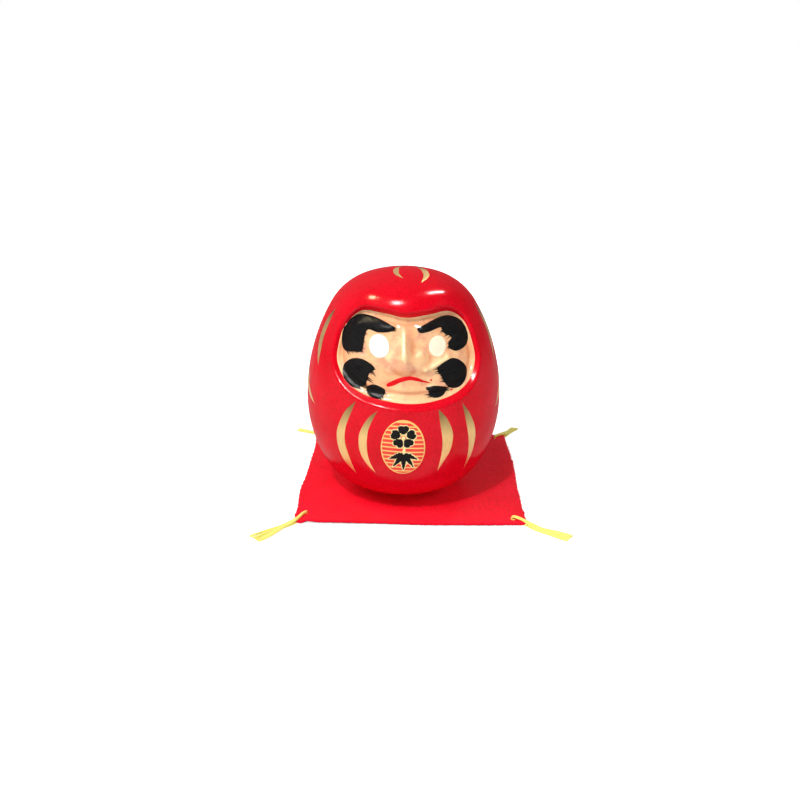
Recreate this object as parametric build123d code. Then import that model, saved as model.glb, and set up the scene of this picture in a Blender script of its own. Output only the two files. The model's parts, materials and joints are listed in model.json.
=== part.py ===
from build123d import *
import math
import os

# Small papier-mache daruma (a self-righting wishing doll) on its square felt mat.
# Millimetres, +Z up. The origin is the centre of the mat's underside, the mat's edges run along X
# and Y, and the doll faces -Y. Heights in the doll's own profile are measured from its lowest point.

# Felt mat and where the doll stands on it
MAT_SIDE = 70.0
MAT_THICKNESS = 1.0
MAT_CORNER_RADIUS = 1.2
DOLL_X = -2.4
DOLL_Y = -7.0
DOLL_TURN = 3.0            # degrees about +Z from facing straight along -Y
DOLL_CLEARANCE = 0.15      # air left between the rounded base and the felt over the whole rocking
DOLL_Z = MAT_THICKNESS + DOLL_CLEARANCE

# Doll's outer profile: six tangent arcs from the underside to the crown
HALF_WIDTH = 30.4
WIDEST_HEIGHT = 30.5
DOLL_HEIGHT = 71.2
ROCKER_RADIUS = 42.0       # spherical underside, centred on the rocking axis
ROCKER_ANGLE = 24.0        # degrees of that sphere on each side of the lowest point
HAUNCH_RADIUS = 17.3
UPPER_BELLY_RADIUS = 60.6
SHOULDER_RADIUS = 18.8
CROWN_RADIUS = 38.6

# Moulded-pulp shell
WALL = 1.6
FACE_DEPTH = 3.0           # how far the face lies below the hood's surface
RIM_ROUNDING = 0.9
GLUE_LINE = 0.1

# Face opening, seen from the front: right half, from the middle of the hood down to the chin
OPENING_TOP = 60.6
OPENING_BOTTOM = 36.9
OPENING_SIDE = [(7.0, 61.4), (14.0, 62.4), (19.6, 58.4), (21.7, 51.5), (21.2, 45.0), (16.5, 39.4), (8.5, 37.3)]

# Nose: height above the base, half-width and how far it stands out of the face
NOSE_SECTIONS = [(44.5, 2.4, 1.2), (46.3, 5.4, 4.2), (48.4, 4.6, 4.4), (51.8, 2.6, 3.0), (56.8, 1.6, 1.2)]
NOSE_ROOTING = 0.8         # how far its root runs into the face

# Clay weight glued into the base
WEIGHT_DISH_DEPTH = 2.0
WEIGHT_DISH_RADIUS = 14.0

# Oval paper label on the belly
LABEL_WIDTH = 12.8
LABEL_HEIGHT = 18.2
LABEL_MID_HEIGHT = 24.7
LABEL_OFFSET = -1.3        # sideways from the middle of the belly
LABEL_THICKNESS = 0.2
LABEL_LIFT = 0.03

# Corner tassels: a bundle of yarn through a hole near each corner, one leg above the felt and one
# in a channel pressed into its underside, both ending in one fanned tail on the table.
YARN_RADIUS = 0.6
YARN_CLEARANCE = 0.08
CHANNEL_DEPTH = 0.5
TAIL_START_RADIUS = 0.75
TAIL_END_HALF_WIDTH = 1.3
TAIL_END_HALF_HEIGHT = 0.7
TAIL_START_REACH = 3.0     # from the corner to where the two legs have merged
# name: (hole inset along X, hole inset along Y, tail's reach past the corner along X and along Y)
TASSELS = {
    "tassel_front_left": (3.0, 5.6, -10.9, -10.2),
    "tassel_front_right": (4.0, 3.0, 12.4, -8.3),
    "tassel_rear_left": (3.6, 4.2, -8.0, 9.2),
    "tassel_rear_right": (4.0, 3.6, 5.6, 9.4),
}

def profile_arcs():
    """The doll's outline as tangent arcs: (centre r, centre z, radius, start angle, end angle).

    Angles run from 0, straight down, through 90, level, to 180, straight up.
    """
    rocker = (0.0, ROCKER_RADIUS)
    first = math.radians(ROCKER_ANGLE)
    step = ROCKER_RADIUS - HAUNCH_RADIUS
    haunch = (step * math.sin(first), ROCKER_RADIUS - step * math.cos(first))
    run = HALF_WIDTH - haunch[0]
    rise = WIDEST_HEIGHT - haunch[1]
    belly_radius = (run ** 2 + rise ** 2 - HAUNCH_RADIUS ** 2) / (2 * (run - HAUNCH_RADIUS))
    belly = (HALF_WIDTH - belly_radius, WIDEST_HEIGHT)
    upper = (HALF_WIDTH - UPPER_BELLY_RADIUS, WIDEST_HEIGHT)
    crown = (0.0, DOLL_HEIGHT - CROWN_RADIUS)
    shoulder = shoulder_centre(upper, crown)
    joints = [
        first,
        direction(belly, haunch),
        math.pi / 2,
        direction(upper, shoulder),
        direction(crown, shoulder),
        math.pi,
    ]
    centres = [rocker, haunch, belly, upper, shoulder, crown]
    radii = [ROCKER_RADIUS, HAUNCH_RADIUS, belly_radius, UPPER_BELLY_RADIUS, SHOULDER_RADIUS, CROWN_RADIUS]
    starts = [0.0] + joints[:-1]
    return [(c[0], c[1], r, a, b) for c, r, a, b in zip(centres, radii, starts, joints)]


def direction(start, end):
    """Angle from straight down of the line from start to end, both (r, z)."""
    return math.atan2(end[0] - start[0], start[1] - end[1])


def shoulder_centre(upper, crown):
    """Centre of the shoulder arc, tangent inside both the upper belly arc and the crown arc."""
    from_upper = UPPER_BELLY_RADIUS - SHOULDER_RADIUS
    from_crown = CROWN_RADIUS - SHOULDER_RADIUS
    gap = math.dist(upper, crown)
    along = (from_upper ** 2 - from_crown ** 2 + gap ** 2) / (2 * gap)
    across = math.sqrt(from_upper ** 2 - along ** 2)
    unit = ((crown[0] - upper[0]) / gap, (crown[1] - upper[1]) / gap)
    return (upper[0] + along * unit[0] - across * unit[1], upper[1] + along * unit[1] + across * unit[0])


ARCS = profile_arcs()


def arc_point(arc, angle, inset):
    """Point on one profile arc, moved inwards by inset, as an (x, 0, z) vector."""
    radius = arc[2] - inset
    return Vector(arc[0] + radius * math.sin(angle), 0, arc[1] - radius * math.cos(angle))


def arc_edge(arc, inset, start=None, end=None):
    """One profile arc as an edge, over the arc's own range unless other ends are given."""
    first = arc[3] if start is None else start
    last = arc[4] if end is None else end
    middle = (first + last) / 2
    return ThreePointArc(*[arc_point(arc, angle, inset) for angle in (first, middle, last)])


def revolved(edges):
    """Solid of revolution about Z of a closed outline of edges in the XZ plane."""
    return revolve(Face(Wire(edges)), Axis.Z)


def doll_solid(inset):
    """The doll's whole egg shape, moved inwards by inset everywhere."""
    edges = [arc_edge(arc, inset) for arc in ARCS]
    axis_line = Line(arc_point(ARCS[-1], math.pi, inset), arc_point(ARCS[0], 0.0, inset))
    return revolved(edges + [axis_line])


def opening_prism(growth):
    """The face opening pushed backwards through the front half, its outline grown by growth."""
    left = [(-x, z) for x, z in reversed(OPENING_SIDE)]
    corners = [(0, OPENING_TOP)] + OPENING_SIDE + [(0, OPENING_BOTTOM)] + left
    middle = Vector(0, 0, (OPENING_TOP + OPENING_BOTTOM) / 2)
    points = [grown(Vector(x, 0, z), middle, growth) for x, z in corners]
    face = Face(Wire([Spline(points, periodic=True)]))
    return extrude(face, amount=HALF_WIDTH + 10, dir=(0, -1, 0))


def grown(point, middle, growth):
    """A point moved directly away from the middle by growth."""
    return point + (point - middle).normalized() * growth


def base_cone(angle):
    """Cone from the rocking centre, used to part the clay base from the shell."""
    reach = ROCKER_RADIUS + 5
    side = math.radians(angle)
    tip = Vector(0, 0, ROCKER_RADIUS)
    foot = Vector(0, 0, ROCKER_RADIUS - reach * math.cos(side))
    rim = Vector(reach * math.sin(side), 0, foot.Z)
    return revolved([Line(tip, foot), Line(foot, rim), Line(rim, tip)])


def nose():
    """A plain blunt nose, lofted through level ovals that stand out of the face."""
    sections = []
    for height, half_width, stand_out in NOSE_SECTIONS:
        face_y = FACE_DEPTH - profile_radius(height)
        level = Plane(origin=(0, face_y + NOSE_ROOTING, height))
        sections.append(level * Ellipse(half_width, stand_out + NOSE_ROOTING))
    return loft(sections) - doll_solid(FACE_DEPTH + NOSE_ROOTING)


def profile_radius(height):
    """Outer radius of the doll at a height between the haunch and the shoulder."""
    for arc in ARCS[1:5]:
        low = arc_point(arc, arc[3], 0.0)
        high = arc_point(arc, arc[4], 0.0)
        if low.Z <= height <= high.Z:
            return arc[0] + math.sqrt(arc[2] ** 2 - (height - arc[1]) ** 2)
    raise ValueError("height outside the doll's side")


def place_doll(shape):
    """Turns a doll part to its facing and stands it on the felt."""
    return Pos(DOLL_X, DOLL_Y, DOLL_Z) * Rot(0, 0, DOLL_TURN) * shape


def body_shell():
    """Hollow shell with a sunk face, open at the bottom where the clay weight goes in."""
    recess = opening_prism(0.0) - doll_solid(FACE_DEPTH)
    recess_backing = opening_prism(WALL) - doll_solid(FACE_DEPTH + WALL)
    outside = doll_solid(0.0) - recess
    rim = [edge for edge in outside.edges() if on_surface(edge)]
    outside = fillet(rim, RIM_ROUNDING)
    hollow = doll_solid(WALL) - recess_backing
    return outside + nose() - hollow - base_cone(ROCKER_ANGLE)


def on_surface(edge):
    """Whether an edge is on the egg's surface at the front, in the face opening's height range."""
    point = edge @ 0.5
    if point.Y > -WALL or not OPENING_BOTTOM - WALL < point.Z < OPENING_TOP + FACE_DEPTH:
        return False
    surface_gap = math.hypot(point.X, point.Y) - profile_radius(point.Z)
    return abs(surface_gap) < GLUE_LINE and abs(point.X) < HALF_WIDTH - 2 * FACE_DEPTH


def base_weight():
    """Clay weight: spherical underside, a collar in the shell's opening and a dished top."""
    gap_angle = math.degrees(GLUE_LINE / ROCKER_RADIUS)
    edge_angle = math.radians(ROCKER_ANGLE - gap_angle)
    inset = WALL + GLUE_LINE
    haunch = ARCS[1]
    underside = arc_edge(ARCS[0], 0.0, 0.0, edge_angle)
    collar_top = arc_point(ARCS[0], edge_angle, inset)
    seat_start = arc_point(haunch, haunch[3], inset)
    seat = arc_edge(haunch, inset)
    top_edge = arc_point(haunch, haunch[4], inset)
    dish_edge = Vector(WEIGHT_DISH_RADIUS, 0, top_edge.Z)
    dish_floor = Vector(0, 0, top_edge.Z - WEIGHT_DISH_DEPTH)
    dish_radius = (WEIGHT_DISH_RADIUS ** 2 + WEIGHT_DISH_DEPTH ** 2) / (2 * WEIGHT_DISH_DEPTH)
    dish_middle = Vector(
        WEIGHT_DISH_RADIUS / 2,
        0,
        dish_floor.Z + dish_radius - math.sqrt(dish_radius ** 2 - (WEIGHT_DISH_RADIUS / 2) ** 2),
    )
    outline = [
        underside,
        Line(underside @ 1, collar_top),
        Line(collar_top, seat_start),
        seat,
        Line(top_edge, dish_edge),
        ThreePointArc(dish_edge, dish_middle, dish_floor),
        Line(dish_floor, Vector(0, 0, 0)),
    ]
    return revolved(outline)


def front_label():
    """Thin oval of paper that follows the belly."""
    oval = Plane.XZ * Pos(LABEL_OFFSET, LABEL_MID_HEIGHT) * Ellipse(LABEL_WIDTH / 2, LABEL_HEIGHT / 2)
    column = extrude(oval, amount=HALF_WIDTH + 10, dir=(0, -1, 0))
    skin = doll_solid(-LABEL_LIFT - LABEL_THICKNESS) - doll_solid(-LABEL_LIFT)
    return skin & column


def tassel_points(name):
    """Hole, corner, merge and tail-end points of one tassel, as (x, y) vectors."""
    inset_x, inset_y, reach_x, reach_y = TASSELS[name]
    side_x = -1 if "left" in name else 1
    side_y = -1 if "front" in name else 1
    corner = Vector(side_x * MAT_SIDE / 2, side_y * MAT_SIDE / 2)
    hole = corner - Vector(side_x * inset_x, side_y * inset_y)
    tail = Vector(reach_x, reach_y)
    merge = corner + tail.normalized() * TAIL_START_REACH
    return hole, corner, merge, corner + tail


def channel(name, half_width, height):
    """Straight bar from a tassel's hole out past the corner, with its bottom at the table."""
    hole, _, merge, _ = tassel_points(name)
    along = merge - hole
    bar = Box(along.length, 2 * half_width, height, align=(Align.MIN, Align.CENTER, Align.MIN))
    turn = math.degrees(math.atan2(along.Y, along.X))
    return Pos(hole.X, hole.Y, 0) * Rot(0, 0, turn) * bar


def felt_mat():
    """Square of felt with a hole and an underside channel for each tassel."""
    felt = extrude(RectangleRounded(MAT_SIDE, MAT_SIDE, MAT_CORNER_RADIUS), amount=MAT_THICKNESS)
    clear = YARN_RADIUS + YARN_CLEARANCE
    for name in TASSELS:
        hole = tassel_points(name)[0]
        felt -= Pos(hole.X, hole.Y, MAT_THICKNESS / 2) * Cylinder(clear, 2 * MAT_THICKNESS)
        felt -= channel(name, clear, CHANNEL_DEPTH)
    return felt


def tassel(name):
    """One yarn tassel: stitch through the felt, upper leg, lower leg and fanned tail."""
    hole, corner, merge, end = tassel_points(name)
    rise = MAT_THICKNESS + YARN_RADIUS + YARN_CLEARANCE
    over_hole = Vector(hole.X, hole.Y, rise)
    over_corner = Vector(corner.X, corner.Y, rise)
    merged = Vector(merge.X, merge.Y, TAIL_START_RADIUS)
    tail_end = Vector(end.X, end.Y, TAIL_END_HALF_HEIGHT)
    stitch = Pos(hole.X, hole.Y, rise / 2) * Cylinder(YARN_RADIUS, rise)
    upper = rod(over_hole, over_corner) + rod(over_corner, merged)
    knuckles = Pos(over_hole) * Sphere(YARN_RADIUS) + Pos(over_corner) * Sphere(YARN_RADIUS)
    lower = channel(name, YARN_RADIUS, CHANNEL_DEPTH - YARN_CLEARANCE)
    return stitch + upper + knuckles + lower + tail(merged, tail_end)


def rod(start, end):
    """Round length of yarn between two points."""
    along = end - start
    return Plane(origin=start, z_dir=along) * Cylinder(
        YARN_RADIUS, along.length, align=(Align.CENTER, Align.CENTER, Align.MIN)
    )


def tail(start, end):
    """Tail that spreads from a round bundle to a flat fan, lying on the table."""
    along = Vector(end.X - start.X, end.Y - start.Y, 0)
    near = Plane(origin=start, x_dir=along.cross(Vector(0, 0, 1)), z_dir=along)
    far = Plane(origin=end, x_dir=along.cross(Vector(0, 0, 1)), z_dir=along)
    root = near * Ellipse(TAIL_START_RADIUS + 0.01, TAIL_START_RADIUS)
    fan = far * Ellipse(TAIL_END_HALF_WIDTH, TAIL_END_HALF_HEIGHT)
    return loft([root, fan])


def main():
    os.makedirs("parts", exist_ok=True)
    shapes = {
        "body_shell": place_doll(body_shell()),
        "base_weight": place_doll(base_weight()),
        "front_label": place_doll(front_label()),
        "felt_mat": felt_mat(),
    }
    for name in TASSELS:
        shapes[name] = tassel(name)
    for name, shape in shapes.items():
        export_step(shape, "parts/" + name + ".step")


main()
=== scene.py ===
import json
import math

import bpy
import numpy as np
from mathutils import Matrix, Vector, geometry


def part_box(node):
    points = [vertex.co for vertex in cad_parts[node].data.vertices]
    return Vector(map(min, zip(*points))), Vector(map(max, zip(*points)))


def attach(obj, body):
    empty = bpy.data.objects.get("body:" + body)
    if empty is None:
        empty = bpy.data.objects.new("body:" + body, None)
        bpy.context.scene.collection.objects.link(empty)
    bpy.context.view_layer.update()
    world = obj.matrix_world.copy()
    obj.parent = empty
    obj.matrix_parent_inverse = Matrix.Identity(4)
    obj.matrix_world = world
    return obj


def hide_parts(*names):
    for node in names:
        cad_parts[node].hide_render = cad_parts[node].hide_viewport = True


# A small papier-mache daruma on its felt mat. Blender units are metres; the doll's own shape is
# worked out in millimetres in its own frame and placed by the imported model's rocking joint.

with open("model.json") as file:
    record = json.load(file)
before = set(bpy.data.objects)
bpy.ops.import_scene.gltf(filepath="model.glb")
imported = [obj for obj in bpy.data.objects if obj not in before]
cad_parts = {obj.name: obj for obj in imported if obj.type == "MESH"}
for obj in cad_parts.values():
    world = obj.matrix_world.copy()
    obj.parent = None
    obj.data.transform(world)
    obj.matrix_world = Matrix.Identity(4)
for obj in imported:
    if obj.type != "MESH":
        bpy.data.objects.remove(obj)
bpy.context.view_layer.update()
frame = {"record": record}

MM = 0.001
rock_joint = frame["record"]["behaviour"]["joints"][0]
DOLL_TURN = 3.0            # degrees that the doll faces to the viewer's right of straight ahead
doll_origin = Vector((rock_joint["pos_m"][0], rock_joint["pos_m"][1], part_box("base_weight")[0][2]))
doll_matrix = Matrix.Translation(doll_origin) @ Matrix.Rotation(math.radians(DOLL_TURN), 4, "Z")
mat_low, mat_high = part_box("felt_mat")


# ---------------------------------------------------------------- doll's shape, in its own millimetres
# The doll's own frame: origin at its lowest point, +Z up, face towards -Y, +X to the viewer's right.

HALF_WIDTH = 30.4
WIDEST_HEIGHT = 30.5
DOLL_HEIGHT = 71.2
ROCKER_RADIUS = 42.0
ROCKER_ANGLE = 24.0
HAUNCH_RADIUS = 17.3
UPPER_BELLY_RADIUS = 60.6
SHOULDER_RADIUS = 18.8
CROWN_RADIUS = 38.6
WALL = 1.6
FORWARDS = np.array([0.0, -1.0, 0.0])
BACKWARDS = -FORWARDS


def profile_arcs():
    """The doll's outline as six tangent arcs: (centre r, centre z, radius, start angle, end angle)."""
    first = math.radians(ROCKER_ANGLE)
    step = ROCKER_RADIUS - HAUNCH_RADIUS
    haunch = (step * math.sin(first), ROCKER_RADIUS - step * math.cos(first))
    run = HALF_WIDTH - haunch[0]
    rise = WIDEST_HEIGHT - haunch[1]
    belly_radius = (run ** 2 + rise ** 2 - HAUNCH_RADIUS ** 2) / (2 * (run - HAUNCH_RADIUS))
    belly = (HALF_WIDTH - belly_radius, WIDEST_HEIGHT)
    upper = (HALF_WIDTH - UPPER_BELLY_RADIUS, WIDEST_HEIGHT)
    crown = (0.0, DOLL_HEIGHT - CROWN_RADIUS)
    from_upper = UPPER_BELLY_RADIUS - SHOULDER_RADIUS
    from_crown = CROWN_RADIUS - SHOULDER_RADIUS
    gap = math.dist(upper, crown)
    along = (from_upper ** 2 - from_crown ** 2 + gap ** 2) / (2 * gap)
    across = math.sqrt(from_upper ** 2 - along ** 2)
    unit = ((crown[0] - upper[0]) / gap, (crown[1] - upper[1]) / gap)
    shoulder = (upper[0] + along * unit[0] - across * unit[1], upper[1] + along * unit[1] + across * unit[0])
    centres = [(0.0, ROCKER_RADIUS), haunch, belly, upper, shoulder, crown]
    radii = [ROCKER_RADIUS, HAUNCH_RADIUS, belly_radius, UPPER_BELLY_RADIUS, SHOULDER_RADIUS, CROWN_RADIUS]
    turns = [0.0, first, downward_angle(belly, haunch), math.pi / 2, downward_angle(upper, shoulder)]
    turns += [downward_angle(crown, shoulder), math.pi]
    return [(c[0], c[1], r, a, b) for c, r, a, b in zip(centres, radii, turns[:-1], turns[1:])]


def downward_angle(start, end):
    """Angle from straight down of the line from start to end, both (r, z)."""
    return math.atan2(end[0] - start[0], start[1] - end[1])


def profile_table():
    """Dense samples of the outline: r, z and the outward normal, from the underside to the crown."""
    rows = []
    for centre_r, centre_z, radius, start, end in profile_arcs():
        turn = np.linspace(start, end, 400)
        normal = np.stack([np.sin(turn), -np.cos(turn)], 1)
        point = np.array([centre_r, centre_z]) + radius * normal
        rows.append(np.concatenate([point, normal], 1))
    table = np.concatenate(rows)
    table[:, 0] = np.maximum(table[:, 0], 0.0)
    return table


PROFILE = profile_table()
CORE_HEIGHT = 36.0         # centre that directions to the surface are taken from
PROFILE_ANGLE = np.arctan2(PROFILE[:, 0], CORE_HEIGHT - PROFILE[:, 1])


def egg_toward(direction):
    """Point and normal where rays from the core, in the given unit directions, leave the egg."""
    level = np.hypot(direction[:, 0], direction[:, 1])
    angle = np.arctan2(level, -direction[:, 2])
    columns = [np.interp(angle, PROFILE_ANGLE, PROFILE[:, k]) for k in range(4)]
    return around(direction[:, 0], direction[:, 1], columns)


def around(x, y, columns):
    """Swings profile columns (r, z, normal r, normal z) to the side that x, y points to."""
    level = np.maximum(np.hypot(x, y), 1e-9)
    cos, sin = x / level, y / level
    r, z, nr, nz = columns
    return np.stack([r * cos, r * sin, z], 1), np.stack([nr * cos, nr * sin, nz], 1)


def egg_front(x, z):
    """Point and normal on the front of the egg that has the given x and height."""
    columns = [np.interp(z, PROFILE[:, 1], PROFILE[:, k]) for k in range(4)]
    depth = np.sqrt(np.maximum(columns[0] ** 2 - x ** 2, 1e-6))
    return around(x, -depth, columns)


# ---------------------------------------------------------------- face opening and relief

# Edge of the red paint round the face, seen from the front, clockwise from the middle of the hood
FACE_EDGE = [
    (0.0, 61.2), (6.5, 61.7), (12.6, 61.9), (17.2, 58.6), (19.6, 52.6), (20.3, 47.4), (18.4, 42.6),
    (13.8, 39.7), (7.2, 38.3), (0.6, 38.0), (-6.4, 38.8), (-13.4, 40.4), (-17.9, 43.4), (-20.1, 47.8),
    (-19.6, 52.6), (-17.6, 57.8), (-12.8, 62.2), (-6.2, 62.2),
]
FACE_MIDDLE = (0.3, 50.0)


def spline_spans(p0, p1, p2, p3, count):
    """Smooth spans from each p1 to its p2, with count samples along each; p0 and p3 lie beyond them."""
    p0, p1, p2, p3 = p0[:, None], p1[:, None], p2[:, None], p3[:, None]
    step = np.linspace(0, 1, count, endpoint=False)[None, :, None]
    curve = 0.5 * (2 * p1 + (p2 - p0) * step + (2 * p0 - 5 * p1 + 4 * p2 - p3) * step ** 2
                   + (3 * p1 - p0 - 3 * p2 + p3) * step ** 3)
    return curve.reshape(-1, curve.shape[2])


def closed_curve(points, count):
    """Smooth closed curve through the points, count samples evenly spaced along each span."""
    points = np.asarray(points, float)
    return spline_spans(np.roll(points, 1, 0), points, np.roll(points, -1, 0), np.roll(points, -2, 0), count)


SPAN_SAMPLES = 24
EDGE_CURVE = closed_curve(FACE_EDGE, SPAN_SAMPLES)
EDGE_POINTS = egg_front(EDGE_CURVE[:, 0], EDGE_CURVE[:, 1])[0]


def smooth(low, high, value):
    """Smooth step from 0 at low to 1 at high."""
    step = np.clip((value - low) / (high - low), 0, 1)
    return step * step * (3 - 2 * step)


def bump(value, middle, width):
    """Round hump of height 1 and the given half-width."""
    return np.exp(-((value - middle) / width) ** 2)


def inside_curve(x, z, curve):
    """Whether each point lies inside a closed curve."""
    x0, z0 = curve[:, 0], curve[:, 1]
    x1, z1 = np.roll(x0, -1), np.roll(z0, -1)
    result = np.zeros(len(x), bool)
    for ax, az, bx, bz in zip(x0, z0, x1, z1):
        crosses = (az > z) != (bz > z)
        if crosses.any():
            result ^= crosses & (x < (bx - ax) * (z - az) / (bz - az + 1e-12) + ax)
    return result


def segment_gap(points, starts, ends):
    """Distance from each point to its own line segment."""
    run = ends - starts
    share = ((points - starts) * run).sum(1) / (run ** 2).sum(1)
    return np.linalg.norm(points - starts - run * np.clip(share, 0, 1)[:, None], axis=1)


def in_chunks(measure, points, size=3000):
    """A measure of many points, taken some thousands at a time to save memory."""
    return np.concatenate([measure(points[start:start + size]) for start in range(0, len(points), size)])


def edge_gap(points):
    """Distance from each point to the nearest part of the red paint's edge."""
    near = ((points[:, None, :] - EDGE_POINTS[None, :, :]) ** 2).sum(2).argmin(1)
    here, before, after = [EDGE_POINTS[(near + k) % len(EDGE_POINTS)] for k in (0, -1, 1)]
    return np.minimum(segment_gap(points, before, here), segment_gap(points, here, after))


def edge_distance(points):
    """Distance from the red paint's edge over the egg, negative on the face."""
    gap = in_chunks(edge_gap, points)
    front = points[:, 1] < 0
    inside = front & inside_curve(points[:, 0], points[:, 2], EDGE_CURVE)
    return np.where(inside, -gap, gap)


FACE_SINK = 2.7            # depth of the face's floor below the egg
CREST_AT = 1.6             # distance from the paint's edge to the raised rim round the face
CREST_LIFT = 0.6
CREST_FADE = 3.2           # how fast the rim falls back to the egg outside its crest
EDGE_SINK = 1.1            # depth of the paint's edge at the sides and chin
HOOD_SINK = 1.9            # depth of the paint's edge under the hood
HOOD_LIFT = 1.6
HOOD_FLOOR_DROP = 0.45     # how much deeper the face's floor lies under the hood
RIM_SOFTNESS = 0.17        # rounding of the rim's crest
SOFTENING_LOSS = 0.69      # share of that softness that the rounding takes off the crest's height
NOSE_SOFTNESS = 0.6        # rounding where the nose's parts meet


def hood_share(points):
    """1 along the top of the face, under the hood, fading to 0 down its sides."""
    return smooth(56.5, 61.0, points[:, 2]) * smooth(22.0, 14.0, np.abs(points[:, 0]))


def soft_max(heights, softness):
    """Highest of several surfaces, blended where they cross."""
    return softness * np.log(sum(np.exp(height / softness) for height in heights))


def rim_height(t):
    """Raised rim at the sides and chin: a crest with a slope down to the paint's edge."""
    inner = CREST_LIFT + (CREST_LIFT + EDGE_SINK) / CREST_AT * (t - CREST_AT)
    beyond = t - CREST_AT
    outer = CREST_LIFT * np.exp(-np.maximum(beyond, 0) / CREST_FADE) + 0.05 * np.minimum(beyond, 0)
    crest = -soft_max([-inner, -outer], RIM_SOFTNESS)
    return crest + RIM_SOFTNESS * SOFTENING_LOSS * bump(t, CREST_AT, 1.0)


def hood_roll(points):
    """Soft bulge of the hood over the forehead, above the top edge of the face."""
    side = np.abs(points[:, 0])
    line = 61.3 + 0.8 * smooth(0.0, 12.0, side) - 0.06 * np.maximum(side - 13.0, 0) ** 2
    rise = bump(points[:, 2], line + 3.7, 4.1)
    return HOOD_LIFT * rise * smooth(24.0, 9.0, side) * smooth(-2.0, -16.0, points[:, 1])


def shell_height(points, t):
    """Height of the red surface above the egg, for points at distance t outside the paint's edge."""
    hood = hood_share(points)
    fade = smooth(16.0, 7.0, t)
    out = smooth(-0.3, 2.1, t)
    return rim_height(t) * (1 - hood) * fade - HOOD_SINK * hood * (1 - out) + hood_roll(points) * out


def dome(x, z, middle, radius, height):
    """Low ball of the given radius and height round a place on the face."""
    far = ((x - middle[0]) ** 2 + (z - middle[1]) ** 2) / radius ** 2
    return height * np.clip(1 - far, 0, None) ** 0.8


# Rounded parts of the nose: place, radius and height
NOSE_BALLS = [((2.9, 49.4), 3.9, 2.8), ((-4.0, 49.3), 3.6, 2.1), ((-0.6, 49.2), 4.0, 3.6)]


def nose_height(x, z):
    """Nose: a narrow ridge with a wide left facet, a ball at each nostril and a receding underside."""
    ridge = np.interp(z, [45.8, 47.0, 48.6, 50.2, 51.0, 51.8, 53.2, 55.0, 57.0, 58.6, 60.2],
                      [0.0, 1.1, 2.8, 4.3, 4.8, 4.75, 4.05, 3.1, 2.1, 1.3, 0.2])
    off = x - np.interp(z, [46.0, 51.0, 57.0], [0.1, -0.9, -0.8])
    left = np.interp(z, [46.0, 48.0, 50.6, 53.5, 56.4, 60.0], [3.6, 4.9, 5.7, 3.7, 1.9, 2.0])
    right = np.interp(z, [46.0, 48.0, 51.0, 53.0, 55.0, 57.0, 60.0], [3.4, 4.2, 3.7, 3.0, 2.5, 2.1, 2.0])
    rounded = np.sqrt(off ** 2 + 0.16) - 0.4
    facet = ridge * np.clip(1 - rounded / np.where(off < 0, left, right), 0, None)
    parts = [facet, *[dome(x, z, *ball) for ball in NOSE_BALLS], np.zeros_like(x)]
    return soft_max(parts, NOSE_SOFTNESS) - NOSE_SOFTNESS * math.log(len(parts))


def fold(x, z, start, end, width):
    """Soft ridge of height 1 along the line between two places on the face."""
    run = np.array(end) - np.array(start)
    share = np.clip(((x - start[0]) * run[0] + (z - start[1]) * run[1]) / (run @ run), 0, 1)
    return np.exp(-((x - start[0] - share * run[0]) ** 2 + (z - start[1] - share * run[1]) ** 2) / width ** 2)


def mound(x, z, middle, half_width, half_height):
    """Flat-topped dome of height 1 round a place on the face."""
    return np.exp(-(((x - middle[0]) / half_width) ** 2 + ((z - middle[1]) / half_height) ** 2) ** 1.6)


def face_relief(x, z):
    """Height of the face's features above its floor."""
    side = np.abs(x)
    right = smooth(-2.0, 2.0, x)
    relief = nose_height(x, z)
    relief += 1.25 * mound(side, z, (13.2, 45.4), 5.4, 4.7)
    relief += (0.25 + 1.05 * right) * fold(side, z, (5.6, 47.2), (11.5, 49.9), 1.1)
    relief += 0.95 * mound(side, z, (8.8, 41.2), 3.5, 2.2)
    relief += 0.85 * fold(side, z, (4.8, 58.4), (14.0, 59.2), 1.9)
    relief += 0.70 * fold(side, z, (15.2, 58.0), (16.0, 53.0), 2.4)
    relief -= (0.45 + 0.2 * right) * bump(side, 8.3, 4.2) * bump(z, 53.3, 3.9)
    relief += 0.60 * mound(side, z, (8.3, 53.3), 3.3, 3.3)
    relief += 0.4 * bump(x, 0, 6.5) * bump(z, 44.4, 1.3)
    relief += 0.55 * bump(x, 0, 5.2) * bump(z, 41.0, 1.5)
    relief -= 0.35 * bump(side, 5.5, 2.0) * bump(z, 43.0, 1.1)
    return relief


# Soft strokes on the face: strength, the two ends and the width
# painted highlights: along the nose's ridge, its left facet's edge and both wings
PAINTED_HIGHLIGHT_STROKES = [
    (0.16, (-2.2, 55.6), (-4.9, 51.4), 1.0), (0.2, (-0.9, 56.6), (-0.9, 51.6), 0.45),
    (0.3, (2.8, 51.4), (3.9, 51.8), 0.5), (0.14, (-5.8, 50.4), (-4.4, 49.6), 0.6),
]
# painted shade: under the nose, to the right of its bridge and under its right wing
PAINTED_SHADE_STROKES = [
    (0.16, (-3.6, 47.4), (1.8, 47.0), 1.1), (0.13, (1.6, 54.6), (1.7, 51.8), 0.7),
    (0.1, (2.0, 47.2), (5.4, 48.2), 0.8),
]
# pink paint by the brows and eyes, and painted shade under the nose
PINK_PAINT_AND_SHADE = [
    (1.0, (-3.4, 48.6), (1.6, 48.9), 1.7), (0.7, (4.4, 56.0), (5.8, 53.0), 0.9),
    (0.7, (-4.6, 57.2), (-4.0, 55.8), 0.9), (0.5, (-14.5, 52.5), (-12.0, 51.0), 1.2),
]
CREASE_REACH = 0.7         # how far apart heights are compared to find creases and ridges


def soft_strokes(x, z, table):
    """Sum of the soft strokes of a table."""
    return sum(strength * fold(x, z, start, end, width) for strength, start, end, width in table)


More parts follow.
